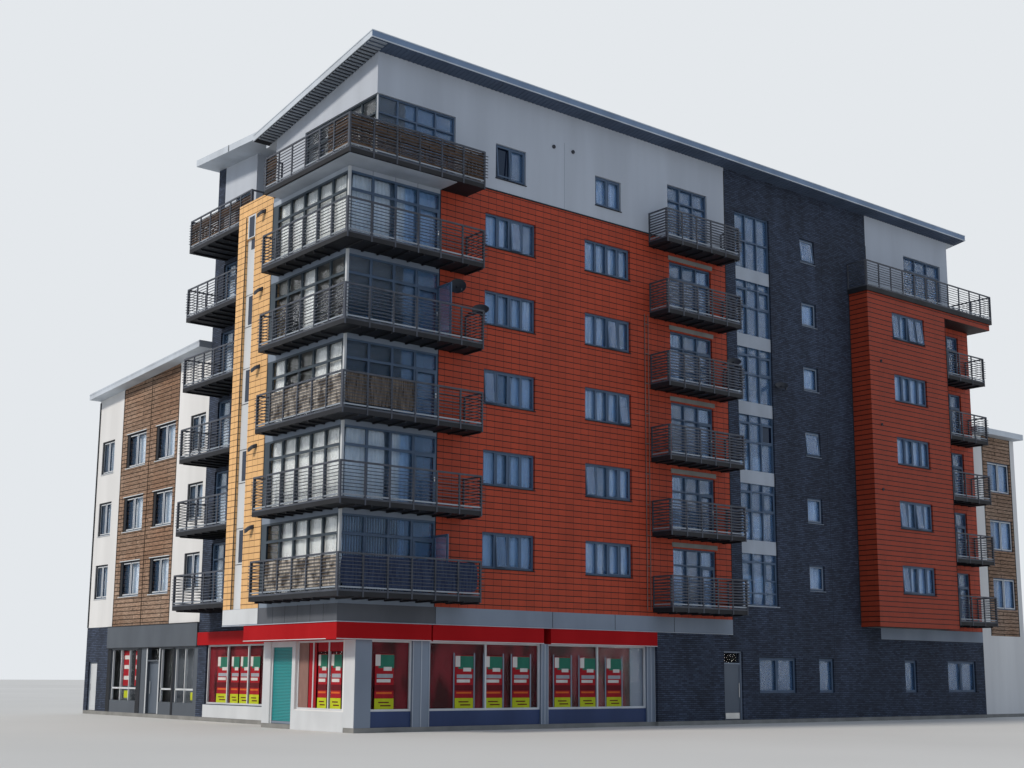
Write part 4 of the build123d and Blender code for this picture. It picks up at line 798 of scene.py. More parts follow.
class BLOCK_OT_curtains(bpy.types.Operator):
    """Curtains and blinds behind the glass of the flats."""
    bl_idname = "block.curtains"
    bl_label = "Curtains"

    def execute(self, context):
        pitch = context.scene.block_sizes.pleat
        base = level(0)
        gap, back = CURTAIN_GAP, CURTAIN_BACK
        window = (base + SILL + gap, base + HEAD - gap)
        small = (base + SMALL_SILL + gap, base + SMALL_HEAD - gap)
        top = (TOP_FLOOR + TOP_WINDOWS[1][2] + gap, TOP_FLOOR + TOP_WINDOWS[1][3] - gap)
        door = (base + 0.05, base + HEAD - 0.05)
        bay = (base + 0.04, base + BAY_HEAD - 0.04)
        wing = (base + WING_SILL + gap, base + WING_HEAD - gap)
        every = (0, 1, 2, 3, 4)
        # each group: plane, heights on the first floor, wall and frame; then each cloth with
        # its ends and the floors that have it
        groups = (
            (back, window, "front", "window_frames", (
                ("curtain_first_left", 5.64, 6.62, (0, 1, 3, 4)),
                ("curtain_first_right", 7.02, 7.86, (0, 1, 2, 3)),
                ("curtain_second_left", 10.30, 11.3, (0, 2, 3, 4)),
                ("curtain_second_right", 11.62, 12.54, (0, 1, 2, 4)))),
            (-0.71, window, "front", "window_frames", (
                ("box_curtain_left", 27.7, 28.75, every),
                ("box_curtain_right", 29.0, 30.02, (0, 1, 2, 3)))),
            (back, small, "front", "window_frames", (
                ("small_curtain", 22.69, 23.60, (0, 1, 3, 4)),)),
            (back, top, "front", "window_frames", (
                ("top_curtain", 10.84, 12.11, (0,)),)),
            (back, door, "front", "balcony_door_frames", (
                ("door_curtain_middle_left", 14.74, 15.4, (0, 1, 3)),
                ("door_curtain_middle_right", 16.45, 17.02, (0, 2, 4)),
                ("door_curtain_end_left", 31.9, 33.0, every))),
            (WING_FACE + back, (door[0], door[1] + 0.2), "side", "balcony_door_frames", (
                ("recess_curtain", 10.8, 12.4, every),)),
            (0.22, bay, "front", "bay_front_frames", (
                ("bay_front_curtain_a", 0.25, 1.75, (1, 4)),
                ("bay_front_curtain_b", 1.95, 2.7, (1, 4)),
                ("bay_front_curtain_c", 2.85, 3.6, (4,)))),
            (0.145, bay, "side", "bay_side_frames", (
                ("bay_side_curtain_a", 0.2, 1.08, (0, 1, 2, 4)),
                ("bay_side_curtain_b", 1.14, 1.98, (0, 1, 2, 4)),
                ("bay_side_curtain_c", 2.04, 2.85, (0, 1, 3, 4)),
                ("bay_side_curtain_d", 2.91, 3.75, (0, 1, 4)),
                ("bay_side_curtain_e", 3.81, 4.6, (1, 2, 4)))),
            (WING_FACE + back, wing, "side", "window_frames", (
                ("wing_curtain_a", 13.47, 14.2, (0, 1, 2)),
                ("wing_curtain_b", 16.18, 17.3, (0, 1, 2)),
                ("wing_curtain_c", 19.0, 20.2, (0, 1, 2)),
                ("wing_curtain_d", 22.3, 23.1, (0, 1, 2)))),
            (FAR_FACE + back, wing, "front", "window_frames", (
                ("far_curtain", 37.3, 38.46, (0, 1, 2)),)))
        for plane, (z0, z1), facing, holder, cloths in groups:
            for name, a0, a1, floors in cloths:
                rise = floors[0] * STOREY
                pleated(name, a0, a1, plane, z0 + rise, z1 + rise, pitch, facing=facing,
                        levels=[n - floors[0] for n in floors])
        row(blocks("vertical_blind", [(0.2, 0.215, 0.16, 0.235, *bay)], "vane", 0.002), 24,
            (0.1, 0, 0))
        return {"FINISHED"}


class BLOCK_OT_bay(bpy.types.Operator):
    """Beads, corner post, door leaves and head panels of the glazed corner bay."""
    bl_idname = "block.bay"
    bl_label = "Corner bay"

    def execute(self, context):
        s = context.scene.block_sizes
        low, top = level(0) + BAR, level(0) + BAY_HEAD - BAR
        mid = level(0) + BAY_HEAD - TRANSOM
        front, side = [], []
        for z0, z1 in ((low, mid - BAR / 2), (mid + BAR / 2, top)):
            front += panes_of(0, 3.66, z0, z1, 4, 0.0)
            side += panes_of(0.07, 4.63, z0, z1, 5, 0.0)
        a0, a1, plane, _, _ = front[3]
        tiers(LEVELS, rings, "bay_front_beads", front, s.bead, 0.012, "grey_frame")
        tiers(LEVELS, rings, "bay_side_beads", side, s.bead, 0.012, "side_frame", "side")
        tiers(LEVELS, rings, "bay_door", [(a0, a1, plane, low, low + 1.78)], 0.075, 0.024,
              "grey_frame")
        tiers(LEVELS, blocks, "bay_handle", [(a1 - 0.06, a1 - 0.035, -0.075, -0.05, low + 0.9,
                                              low + 1.06)], "handle_metal")
        # the corner post's white coat is a painted highlight of its sunlit side
        tiers(LEVELS, blocks, "bay_post", [(-0.014, 0.075, -0.014, 0.075, level(0),
                                            level(0) + POST_TALL)], "pale_frame", 0.006)
        for storey, plane in ((3, 3.62), (0, 3.63)):
            z0, z1 = level(storey) + 0.05, level(storey) + 2.0
            rings(f"open_leaf_{storey + 1}", [(-0.80, -0.03, plane, z0, z1)], 0.075, 0.045,
                  "grey_frame", "side")
            lights(f"open_leaf_pane_{storey + 1}", [(-0.73, -0.1, plane - 0.02, z0 + 0.07,
                                                     z1 - 0.07)], "window_glass", "side")
        head, deck = level(4) + BAY_HEAD, BAY_TOP - 0.01
        blocks("bay_head_panels", [(0.0, 3.64, -0.008, 0.0, head + 0.005, BAY_TOP),
                                   (-0.008, 0.0, 0.0, 4.92, head + 0.005, BAY_TOP)],
               "pale_panel", 0.002)
        blocks("top_deck_soffit", [(-0.60, 3.66, -0.95, -0.01, deck, BAY_TOP + 0.008),
                                   (-0.60, -0.01, 0.0, 4.34, deck, BAY_TOP + 0.008)],
               "pale_panel", 0.003)
        blocks("bay_head_joints", [(x, x + 0.012, -0.012, -0.008, head, deck)
                                   for x in (0.9, 1.8, 2.7)], "joint", 0.001)
        blocks("top_corner_post", [(1.055, 1.10, 0.055, 0.10, TOP_FLOOR,
                                     TOP_FLOOR + POST_TALL)], "pale_frame")
        return {"FINISHED"}


class BLOCK_OT_rails(bpy.types.Operator):
    """Bars, kerb strips, posts' feet and joists of the balconies."""
    bl_idname = "block.rails"
    bl_label = "Balcony rails"

    def execute(self, context):
        s = context.scene.block_sizes
        t, n = s.rail_bar, s.rail_bars
        base = level(0)
        pitch = (RAIL_TOP - KERB_TOP) / (n + 1)
        # height of a bar, floor, number of storeys, and the runs in plan
        for name, high, foot, floors, runs in (
                ("corner", t, base, 6, [
                    (-0.676, 4.90, -1.048, -1.048 + t), (-0.678, -0.678 + t, -1.0, 4.50),
                    (4.80 - t, 4.80, -1.0, 0.0), (-0.66, 0, 4.40 - t, 4.40)]),
                ("middle", 0.048, base, 6, [
                    (13.50, 17.80, -1.018, -1.018 + t), (13.60, 13.60 + t, -0.98, 0),
                    (17.70 - t, 17.70, -0.98, 0)]),
                ("end", t, base, 5, [
                    (31.70, 34.80, -1.018, -1.018 + t), (34.70 - t, 34.70, -0.98, 0)]),
                ("recess", t, base, 6, [
                    (0.452, 0.452 + t, 7.45, 12.50), (0.49, 2.0, 12.40 - t, 12.40)]),
                ("terrace", t, CLAD_TOP, 1, [
                    (25.80, 35.5, -1.05, -1.05 + t), (25.85, 25.85 + t, -1.01, 0),
                    (35.5 - t, 35.5, -1.01, 3.0)])):
            middle = foot + KERB_TOP + pitch
            spans = [(*run, middle - high / 2, middle + high / 2) for run in runs]
            bars = row(blocks(name + "_bars_1", spans, "rail_metal", 0.003), n, (0, 0, pitch))
            storeys(bars, floors, name + "_bars")
        for name, foot, floors, runs in (
                ("corner", base, 6, [(-0.64, 4.76, -1.02, -0.99), (-0.67, -0.64, -0.99, 4.36),
                                     (4.77, 4.79, -0.98, 0.0)]),
                ("middle", base, 6, [(13.66, 17.64, -0.99, -0.96), (13.61, 13.63, -0.95, 0)]),
                ("end", base, 5, [(31.72, 34.66, -0.99, -0.96)]),
                ("recess", base, 6, [(0.46, 0.49, 7.47, 12.36), (0.5, 2.0, 12.365, 12.385)]),
                ("terrace", CLAD_TOP, 1, [(25.9, 35.45, -1.04, -1.01)])):
            spans = [(*run, foot + KERB_FOOT, foot + KERB_TOP) for run in runs]
            tiers(floors, blocks, name + "_kerb", spans, "kerb_metal")
        for name, x0, x1, face, count, floors in (("corner", -0.68, 4.80, -1.03, 7, 6),
                                                  ("middle", 13.60, 17.70, -1.0, 6, 6),
                                                  ("end", 31.70, 34.70, -1.0, 4, 5)):
            post = blocks(name + "_feet_1", [(x0 + 0.004, x0 + 0.056, face - 0.014, face,
                                              base - 0.17, base + 0.16)], "rail_metal", 0.003)
            step = (x1 - x0 - BAR) / (count - 1)
            storeys(row(post, count, (step, 0, 0)), floors, name + "_feet")
        under = base - DECK
        for name, count, step, floors, plan in (
                ("corner_front", 9, (0.6, 0, 0), 5, (-0.1, -0.04, -1.0, -0.02)),
                ("corner_side", 7, (0, 0.6, 0), 5, (-0.64, -0.02, 0.4, 0.46)),
                ("middle", 7, (0.6, 0, 0), 6, (13.8, 13.86, -0.97, -0.02)),
                ("recess", 8, (0, 0.6, 0), 6, (0.5, 1.98, 7.9, 7.96)),
                ("end", 5, (0.6, 0, 0), 5, (31.9, 31.96, -0.97, -0.02))):
            joist = blocks(name + "_joists_1", [(*plan, under - s.joist, under)], "deck_metal")
            storeys(row(joist, count, step), floors, name + "_joists")
        return {"FINISHED"}


class BLOCK_OT_screens(bpy.types.Operator):
    """Timber slats, reed screens and sheets tied behind the rails."""
    bl_idname = "block.screens"
    bl_label = "Balcony screens"

    def execute(self, context):
        slat = context.scene.block_sizes.slat
        top, base = TOP_FLOOR, level(0)
        for name, count, runs in (
                ("top_slats_front", 10, [(-0.62, 1.3, -0.985, -0.965),
                                         (1.33, 3.2, -0.98, -0.96),
                                         (3.23, 4.74, -0.985, -0.965)]),
                ("top_slats_side", 10, [(-0.635, -0.615, -0.96, 0.35),
                                        (-0.635, -0.615, 3.7, 4.34)]),
                ("top_slats_return", 10, [(4.735, 4.755, -0.95, -0.05)]),
                ("recess_slats", 9, [(0.495, 0.515, 7.5, 12.34),
                                     (0.53, 1.96, 12.335, 12.355)])):
            spans = [(*run, top + 0.16, top + 0.16 + slat) for run in runs]
            row(blocks(name, spans, "slat_timber"), count, (0, 0, slat + 0.022))
        blocks("top_slat_posts", [(x, x + 0.045, -0.96, -0.93, top + 0.02, top + RAIL_TOP)
                                  for x in (0.1, 1.28, 2.3, 3.2, 4.2)], "slat_timber")
        boards = [(-0.63, -0.612, y, y + 0.62, base + 0.17, base + 1.1)
                  for y in (-0.9, -0.26, 0.38, 1.02, 1.66, 2.3, 2.94)]
        repeat(blocks("reed_screen_1", boards, "reed", 0.006), "reed_screen_3",
               (0, 0, 2 * STOREY))
        pleated("windbreak_sheet", -0.55, 4.7, -0.965, base + 0.16, base + 1.1, 0.87, 0.012,
                finish="windbreak")
        pleated("brown_cover", -0.55, 2.1, -0.955, level(2) + 0.2, level(2) + 1.13, 0.42, 0.03,
                finish="brown_cloth")
        return {"FINISHED"}


class BLOCK_OT_walls(bpy.types.Operator):
    """Trims, joints, lintels, vents and pipes on the walls."""
    bl_idname = "block.walls"
    bl_label = "Wall trims"

    def execute(self, context):
        blocks("wall_trims", [
            (4.27, 17.92, -0.022, 0.0, CLAD_TOP - 0.02, CLAD_TOP + 0.03),
            (17.915, 17.945, -0.012, 0.0, BAND_TOP, 22.2),
            (3.655, 3.685, -0.012, 0.0, BAND_TOP, BAY_TOP),
            (27.245, 27.275, -0.012, 0.0, CLAD_TOP + 0.01, 20.9),
            (25.90, 25.94, -0.02, 0.0, BAND_TOP, 18.38),
            (-0.012, 0.0, 4.925, 4.95, BAND_TOP, BAY_TOP),
            (-0.014, 0.0, 6.85, 6.90, BAND_TOP, 18.05),
            (31.685, 31.70, -0.99, BOX_FRONT, 3.88, 18.1)], "joint", 0.002)
        tiers(LEVELS, blocks, "door_lintel", [(14.64, 17.12, -0.03, 0.0, level(0) + 2.33,
                                               level(0) + 2.50)], "concrete")
        blocks("render_joint", [(9.275, 9.287, -0.003, 0.0, 18.65, 21.2)], "grey_panel", 0.001)
        self.stair()
        self.slot()
        self.vents()
        self.pipes()
        return {"FINISHED"}

    def stair(self):
        """Pale panels and the short top lights of the stair window."""
        x0, x1 = STAIR
        z = level(1)
        wide = (x1 - x0 - BAR) / 3
        clear = [(x0 + BAR + n * wide, x0 + (n + 1) * wide) for n in range(3)]
        tiers(LEVELS, blocks, "stair_panel", [(x0 + 0.01, x1 - 0.01, 0.055, 0.08, z - 0.46,
                                               z + 0.08)], "pale_panel")
        tiers(LEVELS, blocks, "stair_bars", [(a, b, 0.08, 0.145, z - 0.80, z - 0.75)
                                             for a, b in clear], "grey_frame")
        tiers(LEVELS, rings, "stair_sashes", [(a, b, 0.08, z - 1.53, z - 0.80)
                                              for a, b in clear[::2]], 0.045, 0.014,
              "grey_frame")
        blocks("stair_sill", [(x0 - 0.03, x1 + 0.03, -0.04, 0.08, 4.50, 4.54)], "pale_panel")
        # a dark pane behind the open stair light is painted shade of the space behind
        lights("stair_open_room", [(*clear[2], 0.144, level(3) - 1.5, level(3) - 0.82)],
               "dark_glass")

    def slot(self):
        """Dark panes between white panels in the narrow slot of the ochre wall."""
        y0, y1 = SLOT
        panes = ((5.55, 6.67), (8.39, 9.44), (11.2, 12.35), (14.0, 15.05))
        # the slot's dark panes are painted shade of the unlit space behind them
        for name, a0, a1, plane, heights in (
                ("slot_panes", y0 + 0.03, y1 - 0.26, 0.076, panes),
                ("slot_head_pane", y0 + 0.06, y1 - 0.22, -0.013, [(17.24, 18.0)]),
                ("slot_low_pane", y0 + 0.03, y1 - 0.26, 0.076, [(16.8, 17.18)])):
            lights(name, [(a0, a1, plane, a, b) for a, b in heights], "dark_glass", "side")
        rings("slot_frames", [(y0 + 0.005, y1 - 0.2, 0.078, a - 0.05, b + 0.05)
                              for a, b in panes], 0.05, 0.02, "pale_frame", "side")
        blocks("slot_head", [(-0.012, 0.0, y0 - 0.01, y1 - 0.12, 17.2, 18.06)], "pale_frame")
        blocks("slot_joints", [(0.07, 0.08, y0 + 0.005, y1 - 0.005, z, z + 0.018)
                               for a, b in panes for z in (a - 0.07, b + 0.06)], "joint", 0.001)

    def vents(self):
        """Round vent terminals and overflow spouts."""
        for n, (x, y, z, radius) in enumerate((
                (8.75, -0.02, 20.92, 0.07), (9.69, -0.02, 20.95, 0.07),
                (13.82, -0.02, 18.16, 0.06), (26.72, -0.995, 15.36, 0.06),
                (26.6, -0.995, 12.53, 0.06), (26.5, -0.995, 9.7, 0.06)), 1):
            select()
            bpy.ops.mesh.primitive_cylinder_add(vertices=20, radius=radius, depth=0.05,
                                                location=at(x, y, z), rotation=(pi / 2, 0, 0))
            vent = settle(f"vent_{n}")
            face = at(x, y - 0.02, z).y
            choose(vent, lambda place: place.y < face)
            bpy.ops.mesh.select_mode(type="FACE")
            bpy.ops.mesh.inset(thickness=radius * 0.3, depth=-0.03)
            end(vent, "dish_metal", soften=0.004, smooth=35)
        for n, z in enumerate((17.95, 15.09, 12.30, 9.50, 6.70), 1):
            spout = begin(f"spout_{n}", [(-0.03, 0.0, 5.46, 5.60, z - 0.06, z + 0.08)])
            face = at(-0.02, 0, 0).x
            choose(spout, lambda place: place.x < face)
            draw_out((-0.10, 0.06, -0.05))
            draw_out((-0.08, 0.10, -0.10))
            end(spout, "dish_metal", soften=0.012)

    def pipes(self):
        """Twin thin pipes and their clips beside the middle balconies."""
        for n, x in enumerate((13.30, 13.48), 1):
            select()
            bpy.ops.mesh.primitive_cylinder_add(vertices=12, radius=0.018, depth=11.2,
                                                location=at(x, -0.03, 9.76))
            end(settle(f"thin_pipe_{n}"), "pipe", soften=0.004, smooth=35)
        row(blocks("pipe_clips", [(13.27, 13.51, -0.055, 0.0, 4.6, 4.63)], "pipe"), 10,
            (0, 0, 1.15))


class BLOCK_OT_shops(bpy.types.Operator):
    """Band, pilasters, stall risers, prints and shutter of the corner shop."""
    bl_idname = "block.shops"
    bl_label = "Corner shop"

    def execute(self, context):
        head, ledge, band = SHOP_HEAD, BAND_FOOT, BAND_TOP
        joints = [(x, x + 0.014, -0.008, 0.0, ledge, band) for x in (3.72, 8.72, 11.68, 14.7)]
        joints += [(-0.008, 0.0, y, y + 0.014, ledge, band)
                   for y in (0.79, 1.58, 2.37, 3.16, 3.95, 4.93, 6.2)]
        blocks("band_joints", joints, "joint", 0.001)
        lay("pale_panel", 0.003, band_ledges=[(-0.02, 17.9, -0.03, 0.0, ledge - 0.025, ledge),
                                              (-0.03, 0.0, 0.0, 7.43, ledge - 0.025, ledge)])
        # darker panels on the band under the bay: painted shade of the balcony above
        lay("stained_panel", 0.002, bay_band_panels=[
            (-0.006, 3.715, -0.006, 0.0, ledge + 0.01, band - 0.01),
            (-0.006, 0.0, 0.0, 4.92, ledge + 0.01, band - 0.01)])
        # the corner column's white side strip is painted sunlight on its side face
        lay("pale_frame", 0.003,
            ochre_band_panels=[(-0.012, 0.0, 4.96, 7.44, ledge + 0.02, band - 0.01)],
            fascia_lines=[(*run, head, head + 0.025) for run in (
                (0.0, 3.58, -0.014, 0.0), (3.64, 8.34, -0.014, 0.0),
                (8.66, 13.81, -0.014, 0.0), (-0.014, 0.0, 0.6, 5.9))],
            corner_column_side=[(0.788, 0.80, 0.15, 0.75, SLAB, head)])
        ribs = [(x0, x1, 0.13, 0.15, SLAB, head)
                for left, right in ((2.97, 3.64), (8.34, 8.66), (13.40, 13.81))
                for x0, x1 in ((left, left + 0.03),
                               ((left + right) / 2 - 0.02, (left + right) / 2 + 0.02),
                               (right - 0.03, right))]
        blocks("pilaster_ribs", ribs, "pale_panel")
        # the corner column's grey front is painted shade; its side is the same column in painted
        # sunlight
        blocks("corner_column_face", [(0.81, 1.4, 0.14, 0.15, SLAB, head)], "grey_panel", 0.003)
        blocks("stall_risers", [(x0 + 0.01, x1 - 0.01, 0.21, 0.23, SLAB, SHOP_SILL - 0.02)
                                for x0, x1 in SHOP_LIGHTS], "navy_panel")
        blocks("side_plinths", [(0.785, 0.80, 0.75, 3.96, 0.0, 0.62),
                                (1.985, 2.0, 7.6, 12.6, SLAB, 0.62),
                                (0.785, 0.80, 3.75, 3.96, 0.62, head),
                                (0.785, 0.80, 5.38, 5.88, SLAB, head)], "pale_frame")
        self.prints()
        # guides, head box and foot rail of the roller shutter
        blocks("shutter_guides", [(0.84, 0.879, 3.97, 4.03, SLAB, head),
                                  (0.84, 0.879, 5.31, 5.37, SLAB, head),
                                  (0.81, 0.879, 3.97, 5.37, 2.66, head)], "pale_frame")
        blocks("shutter_foot", [(0.855, 0.879, 4.03, 5.31, 0.16, 0.24)], "grey_panel")
        return {"FINISHED"}

    def prints(self):
        """Generic printed sheets in plain bands of colour, and the dark red ground behind, which
        is painted shade of the unlit shop.
        """
        front = [(1.62, 2.34), (4.75, 5.50), (5.98, 6.73), (7.17, 7.92), (9.05, 9.78),
                 (10.23, 10.96), (11.50, 12.22)]
        side, back = 0.905, WING_FACE + 0.11
        places = [(side, 1.95, 2.5), (side, 1.1, 1.72), (back, 10.9, 11.75),
                  (back, 10.05, 10.65), (back, 9.3, 9.95), (back, 8.5, 9.2)]
        lay("print_red", 0.001,
            front_prints=[(x0, x1, 0.274, 0.28, 0.7, 2.42) for x0, x1 in front],
            side_prints=[(x + 0.009, x + 0.015, y0, y1, 0.7, 2.42) for x, y0, y1 in places])
        # share of the width that each band keeps free at its left and right, and its heights;
        # each stands a little prouder than the one before
        bands = (("green", 0.18, 0.0, 1.98, 2.40), ("cream", 0.02, 0.72, 2.05, 2.40),
                 ("cream", 0.45, 0.12, 1.90, 2.02), ("grey", 0.1, 0.06, 1.68, 1.80),
                 ("cream", 0.1, 0.18, 1.54, 1.64), ("maroon", 0.0, 0.0, 1.28, 1.46),
                 ("orange", 0.08, 0.1, 1.18, 1.24), ("lime", 0.0, 0.0, 0.70, 1.04),
                 ("maroon", 0.2, 0.25, 0.90, 0.94), ("maroon", 0.3, 0.15, 0.80, 0.84))
        for n, (name, left, right, low, high) in enumerate(bands, 1):
            proud = 0.001 * n
            blocks(f"front_print_{n}", [(x0 + left * (x1 - x0), x1 - right * (x1 - x0),
                                         0.272 - proud, 0.274, low, high) for x0, x1 in front],
                   "print_" + name, 0.0005)
            blocks(f"side_print_{n}", [(x + 0.008 - proud, x + 0.009, y0 + right * (y1 - y0),
                                        y1 - left * (y1 - y0), low, high)
                                       for x, y0, y1 in places], "print_" + name, 0.0005)
        low, high = SHOP_SILL, SHOP_HEAD - 0.01
        lay("grey_panel", 0.002,
            front_print_edges=[(x, x + 0.05, 0.268, 0.28, low, 2.5)
                               for x0, x1 in front[1:] for x in (x0 - 0.07, x1 + 0.02)],
            shop_end_panel=[(12.72, 13.38, 0.334, 0.344, low, high)])
        # dark red sheets behind the glass: painted shade of the unlit shop
        lay("shop_dark", 0.002,
            shop_ground=[(x0 + 0.01, min(x1 - 0.01, 12.68), 0.334, 0.344, low, high)
                         for x0, x1 in SHOP_LIGHTS],
            side_ground=[(0.99, 1.0, 0.9, 3.7, low, high)],
            setback_ground=[(2.16, 2.17, 7.75, 12.45, low, high)])
        lay("print_brown", 0.001, side_brown=[(side, side + 0.012, 3.1, 3.68, low, high)])
        lay("print_red", 0.001, side_red=[(side, side + 0.012, 0.92, 2.52, 2.5, high),
                                          (side, side + 0.012, 2.60, 3.06, low, high)])


class BLOCK_OT_wing(bpy.types.Operator):
    """Shopfront, trims and edges of the low wing and of the far wing."""
    bl_idname = "block.wing"
    bl_label = "Low wing"

    def execute(self, context):
        face, glass, foot = WING_FACE, WING_FACE + 0.16, UPPER_FOOT
        blocks("jamb_strips", [(face - 0.02, face, y0, y1, 0.16, 2.78) for y0, y1 in (
            (21.32, 21.68), (18.3, 18.68), (15.22, 15.38))], "joint", 0.003)
        white = [(face + 0.06, face + 0.15, y, y + 0.05, 0.65, 2.74)
                 for y in (13.5, 14.35, 15.15, 15.4, 16.45, 18.7, 19.55, 20.4, 21.25)]
        white += [(face + 0.06, face + 0.15, y0, y1, 1.12, 1.19)
                  for y0, y1 in ((13.5, 15.2), (15.4, 16.5), (18.7, 21.3))]
        blocks("wing_mullions", white, "pale_frame")
        blocks("wing_door_frame", [(face - 0.012, face + 0.02, y, y + 0.08, 0.16, 2.79)
                                   for y in (16.52, 17.70)], "pale_frame")
        blocks("wing_fascia_edges", [(1.905, 1.92, REAR_FACE, 21.7, z, z + 0.03)
                                     for z in (2.8, 3.72)], "joint", 0.003)
        lay("print_red", 0.001, wing_print_red=[(glass, glass + 0.01, 19.75, 20.35, 1.25, 2.7),
                                                (glass, glass + 0.01, 18.8, 19.2, 1.25, 2.7)])
        lay("print_cream", 0.001, wing_print_cream=[
            (glass - 0.006, glass + 0.004, y0, y1, z, z + 0.16)
            for y0, y1 in ((19.82, 20.28), (18.86, 19.14)) for z in (1.5, 1.95, 2.35)])
        lay("print_lime", 0.001, wing_print_lime=[
            (glass, glass + 0.01, 19.8, 20.2, 0.75, 1.05),
            (glass, glass + 0.01, 13.7, 14.0, 0.75, 1.05)])
        # the dark ground, a sheet in painted shade of the unlit shop, leaves the doorway free for
        # the door
        blocks("wing_shop_ground", [(face + 0.5, face + 0.52, 13.3, 16.4, 0.3, 2.75),
                                    (face + 0.5, face + 0.52, 17.9, 21.6, 0.3, 2.75)],
               "dark_fascia", 0.002)
        blocks("wing_shop_handle", [(face + 0.075, face + 0.10, 17.52, 17.55, 0.95, 1.45)],
               "handle_metal", 0.006, "wing_shop_door")
        lay("slat_timber", 0.003, timber_trims=[(face - 0.02, face, 18.55, 18.60, foot, 14.3),
                                                (face - 0.015, face, 15.88, 15.93, foot, 14.4),
                                                (face - 0.015, face, 21.38, 21.43, foot, 14.2)])
        blocks("wing_corner_trim", [(face - 0.03, face, 23.98, 24.09, foot, 14.0)], "joint",
               0.006)
        blocks("far_trims", [(x, x + 0.03, 0.285, FAR_FACE, foot, 13.3)
                             for x in (36.18, 38.59)], "joint", 0.002)
        return {"FINISHED"}


class BLOCK_OT_doors(bpy.types.Operator):
    """Handles, kick plate and panels of the street doors, and leaves of the balcony doors."""
    bl_idname = "block.doors"
    bl_label = "Street and balcony doors"

    def execute(self, context):
        blocks("entrance_handle", [(18.29, 18.315, 0.07, 0.098, 1.0, 1.55)], "handle_metal",
               0.008, "entrance_door")
        blocks("entrance_kick_plate", [(17.53, 18.31, 0.095, 0.1, 0.2, 0.42)], "handle_metal",
               0.001, "entrance_door")
        blocks("end_door_handle", [(2.075, 2.098, 23.6, 23.63, 1.0, 1.3)], "handle_metal",
               0.006, "wing_end_door")
        rings("end_door_panels", [(22.96, 23.6, 2.0995, 0.35, 1.0),
                                  (22.96, 23.6, 2.0995, 1.15, 2.05)], 0.03, 0.008,
              "pale_frame", "side", "wing_end_door")
        low, high = level(0) + BAR, level(0) + HEAD - TRANSOM - BAR / 2
        for name, pair in (("middle", FRONT_DOOR), ("end", END_DOOR)):
            pane = panes_of(*pair, low, high, 3, REVEAL)[2]
            tiers(LEVELS, rings, name + "_leaf", [pane], 0.07, 0.022, "grey_frame")
            tiers(LEVELS, blocks, name + "_grip", [(pane[1] - 0.05, pane[1] - 0.03, 0.02, 0.05,
                                                    low + 0.85, low + 1.0)], "handle_metal")
        pane = panes_of(*RECESS_DOOR, low, high + 0.2, 3, WING_FACE + REVEAL)[1]
        tiers(LEVELS, rings, "recess_leaf", [pane], 0.07, 0.022, "grey_frame", "side")
        return {"FINISHED"}


class BLOCK_OT_roof(bpy.types.Operator):
    """Edge trims, soffit ribs and standing seams of the roofs."""
    bl_idname = "block.roof"
    bl_label = "Roof edges and ribs"

    def execute(self, context):
        s = context.scene.block_sizes
        fall, rise, foot = SLOPE["front"], SLOPE["rear"], EAVE_FOOT
        ribs = sloped("front_soffit_ribs", [(1.05, 1.11, -0.55, -0.01, foot - 0.035,
                                             foot - 0.008)], -0.3, -0.54 * fall, "soffit", 0.004)
        row(ribs, int(33.1 / s.rib), (s.rib, 0, 0))
        side = blocks("side_soffit_ribs", [(0.38, 0.99, -0.55, -0.55 + s.rib * 0.62,
                                            foot - 0.055, foot - 0.02)], "kerb_metal")
        row(side, int(7.6 / s.rib), (0, s.rib, -s.rib * fall))
        sloped("front_soffit_sheet", [(0.37, 34.28, -0.59, -0.01, foot - 0.012, foot - 0.002)],
               -0.3, -0.58 * fall, "soffit", 0.002)
        sloped("side_soffit_sheet", [(0.37, 1.0, -0.58, 7.28, foot - 0.012, foot - 0.002)], 3,
               -7.86 * fall, "joint", 0.002)
        seam = sloped("front_seams", [(0.5, 0.53, -0.30, 7.25, foot + 0.27 - 0.3 * fall,
                                       foot + 0.30 - 0.3 * fall)], 3, -7.55 * fall,
                      "roof_metal", 0.004)
        row(seam, int(33.5 / s.seam), (s.seam, 0, 0))
        seam = sloped("rear_seams", [(1.2, 1.23, 7.35, 13.35, 22.04, 22.07)], 9, 6.0 * rise,
                      "roof_metal", 0.004)
        row(seam, int(32.9 / s.seam), (s.seam, 0, 0))
        # folded drip edges, and the joint between the two roofs
        lip = EAVE - 0.02
        # the front plate's blue grey is painted shade and painted sky reflection
        blocks("front_fascia_plate", [(0.35, 34.30, EAVE - 0.008, EAVE, 22.45, 22.70)],
               "shaded_edge_panel", 0.002)
        blocks("front_fascia_trim", [(0.34, 34.31, lip, EAVE, 22.435, 22.475),
                                     (0.34, 34.31, lip, EAVE, 22.67, 22.705)], "roof_metal")
        for name, x0 in (("left", 0.335), ("right", 34.30)):
            sloped(name + "_rake_trim", [(x0, x0 + 0.015, EAVE, 7.3, 22.66, 22.705),
                                         (x0, x0 + 0.015, EAVE, 7.3, 22.44, 22.49)], 3,
                   -7.9 * fall, "roof_metal", 0.004)
        blocks("rear_roof_joint", [(1.038, 1.05, 10.6, 10.64, 21.98, 22.24)], "joint", 0.002)
        sloped("wing_rake_trim", [(1.435, 1.45, REAR_FACE, 24.1, 14.84, 14.90)], 18,
               -10.9 * SLOPE["wing"], "roof_metal", 0.004)
        return {"FINISHED"}


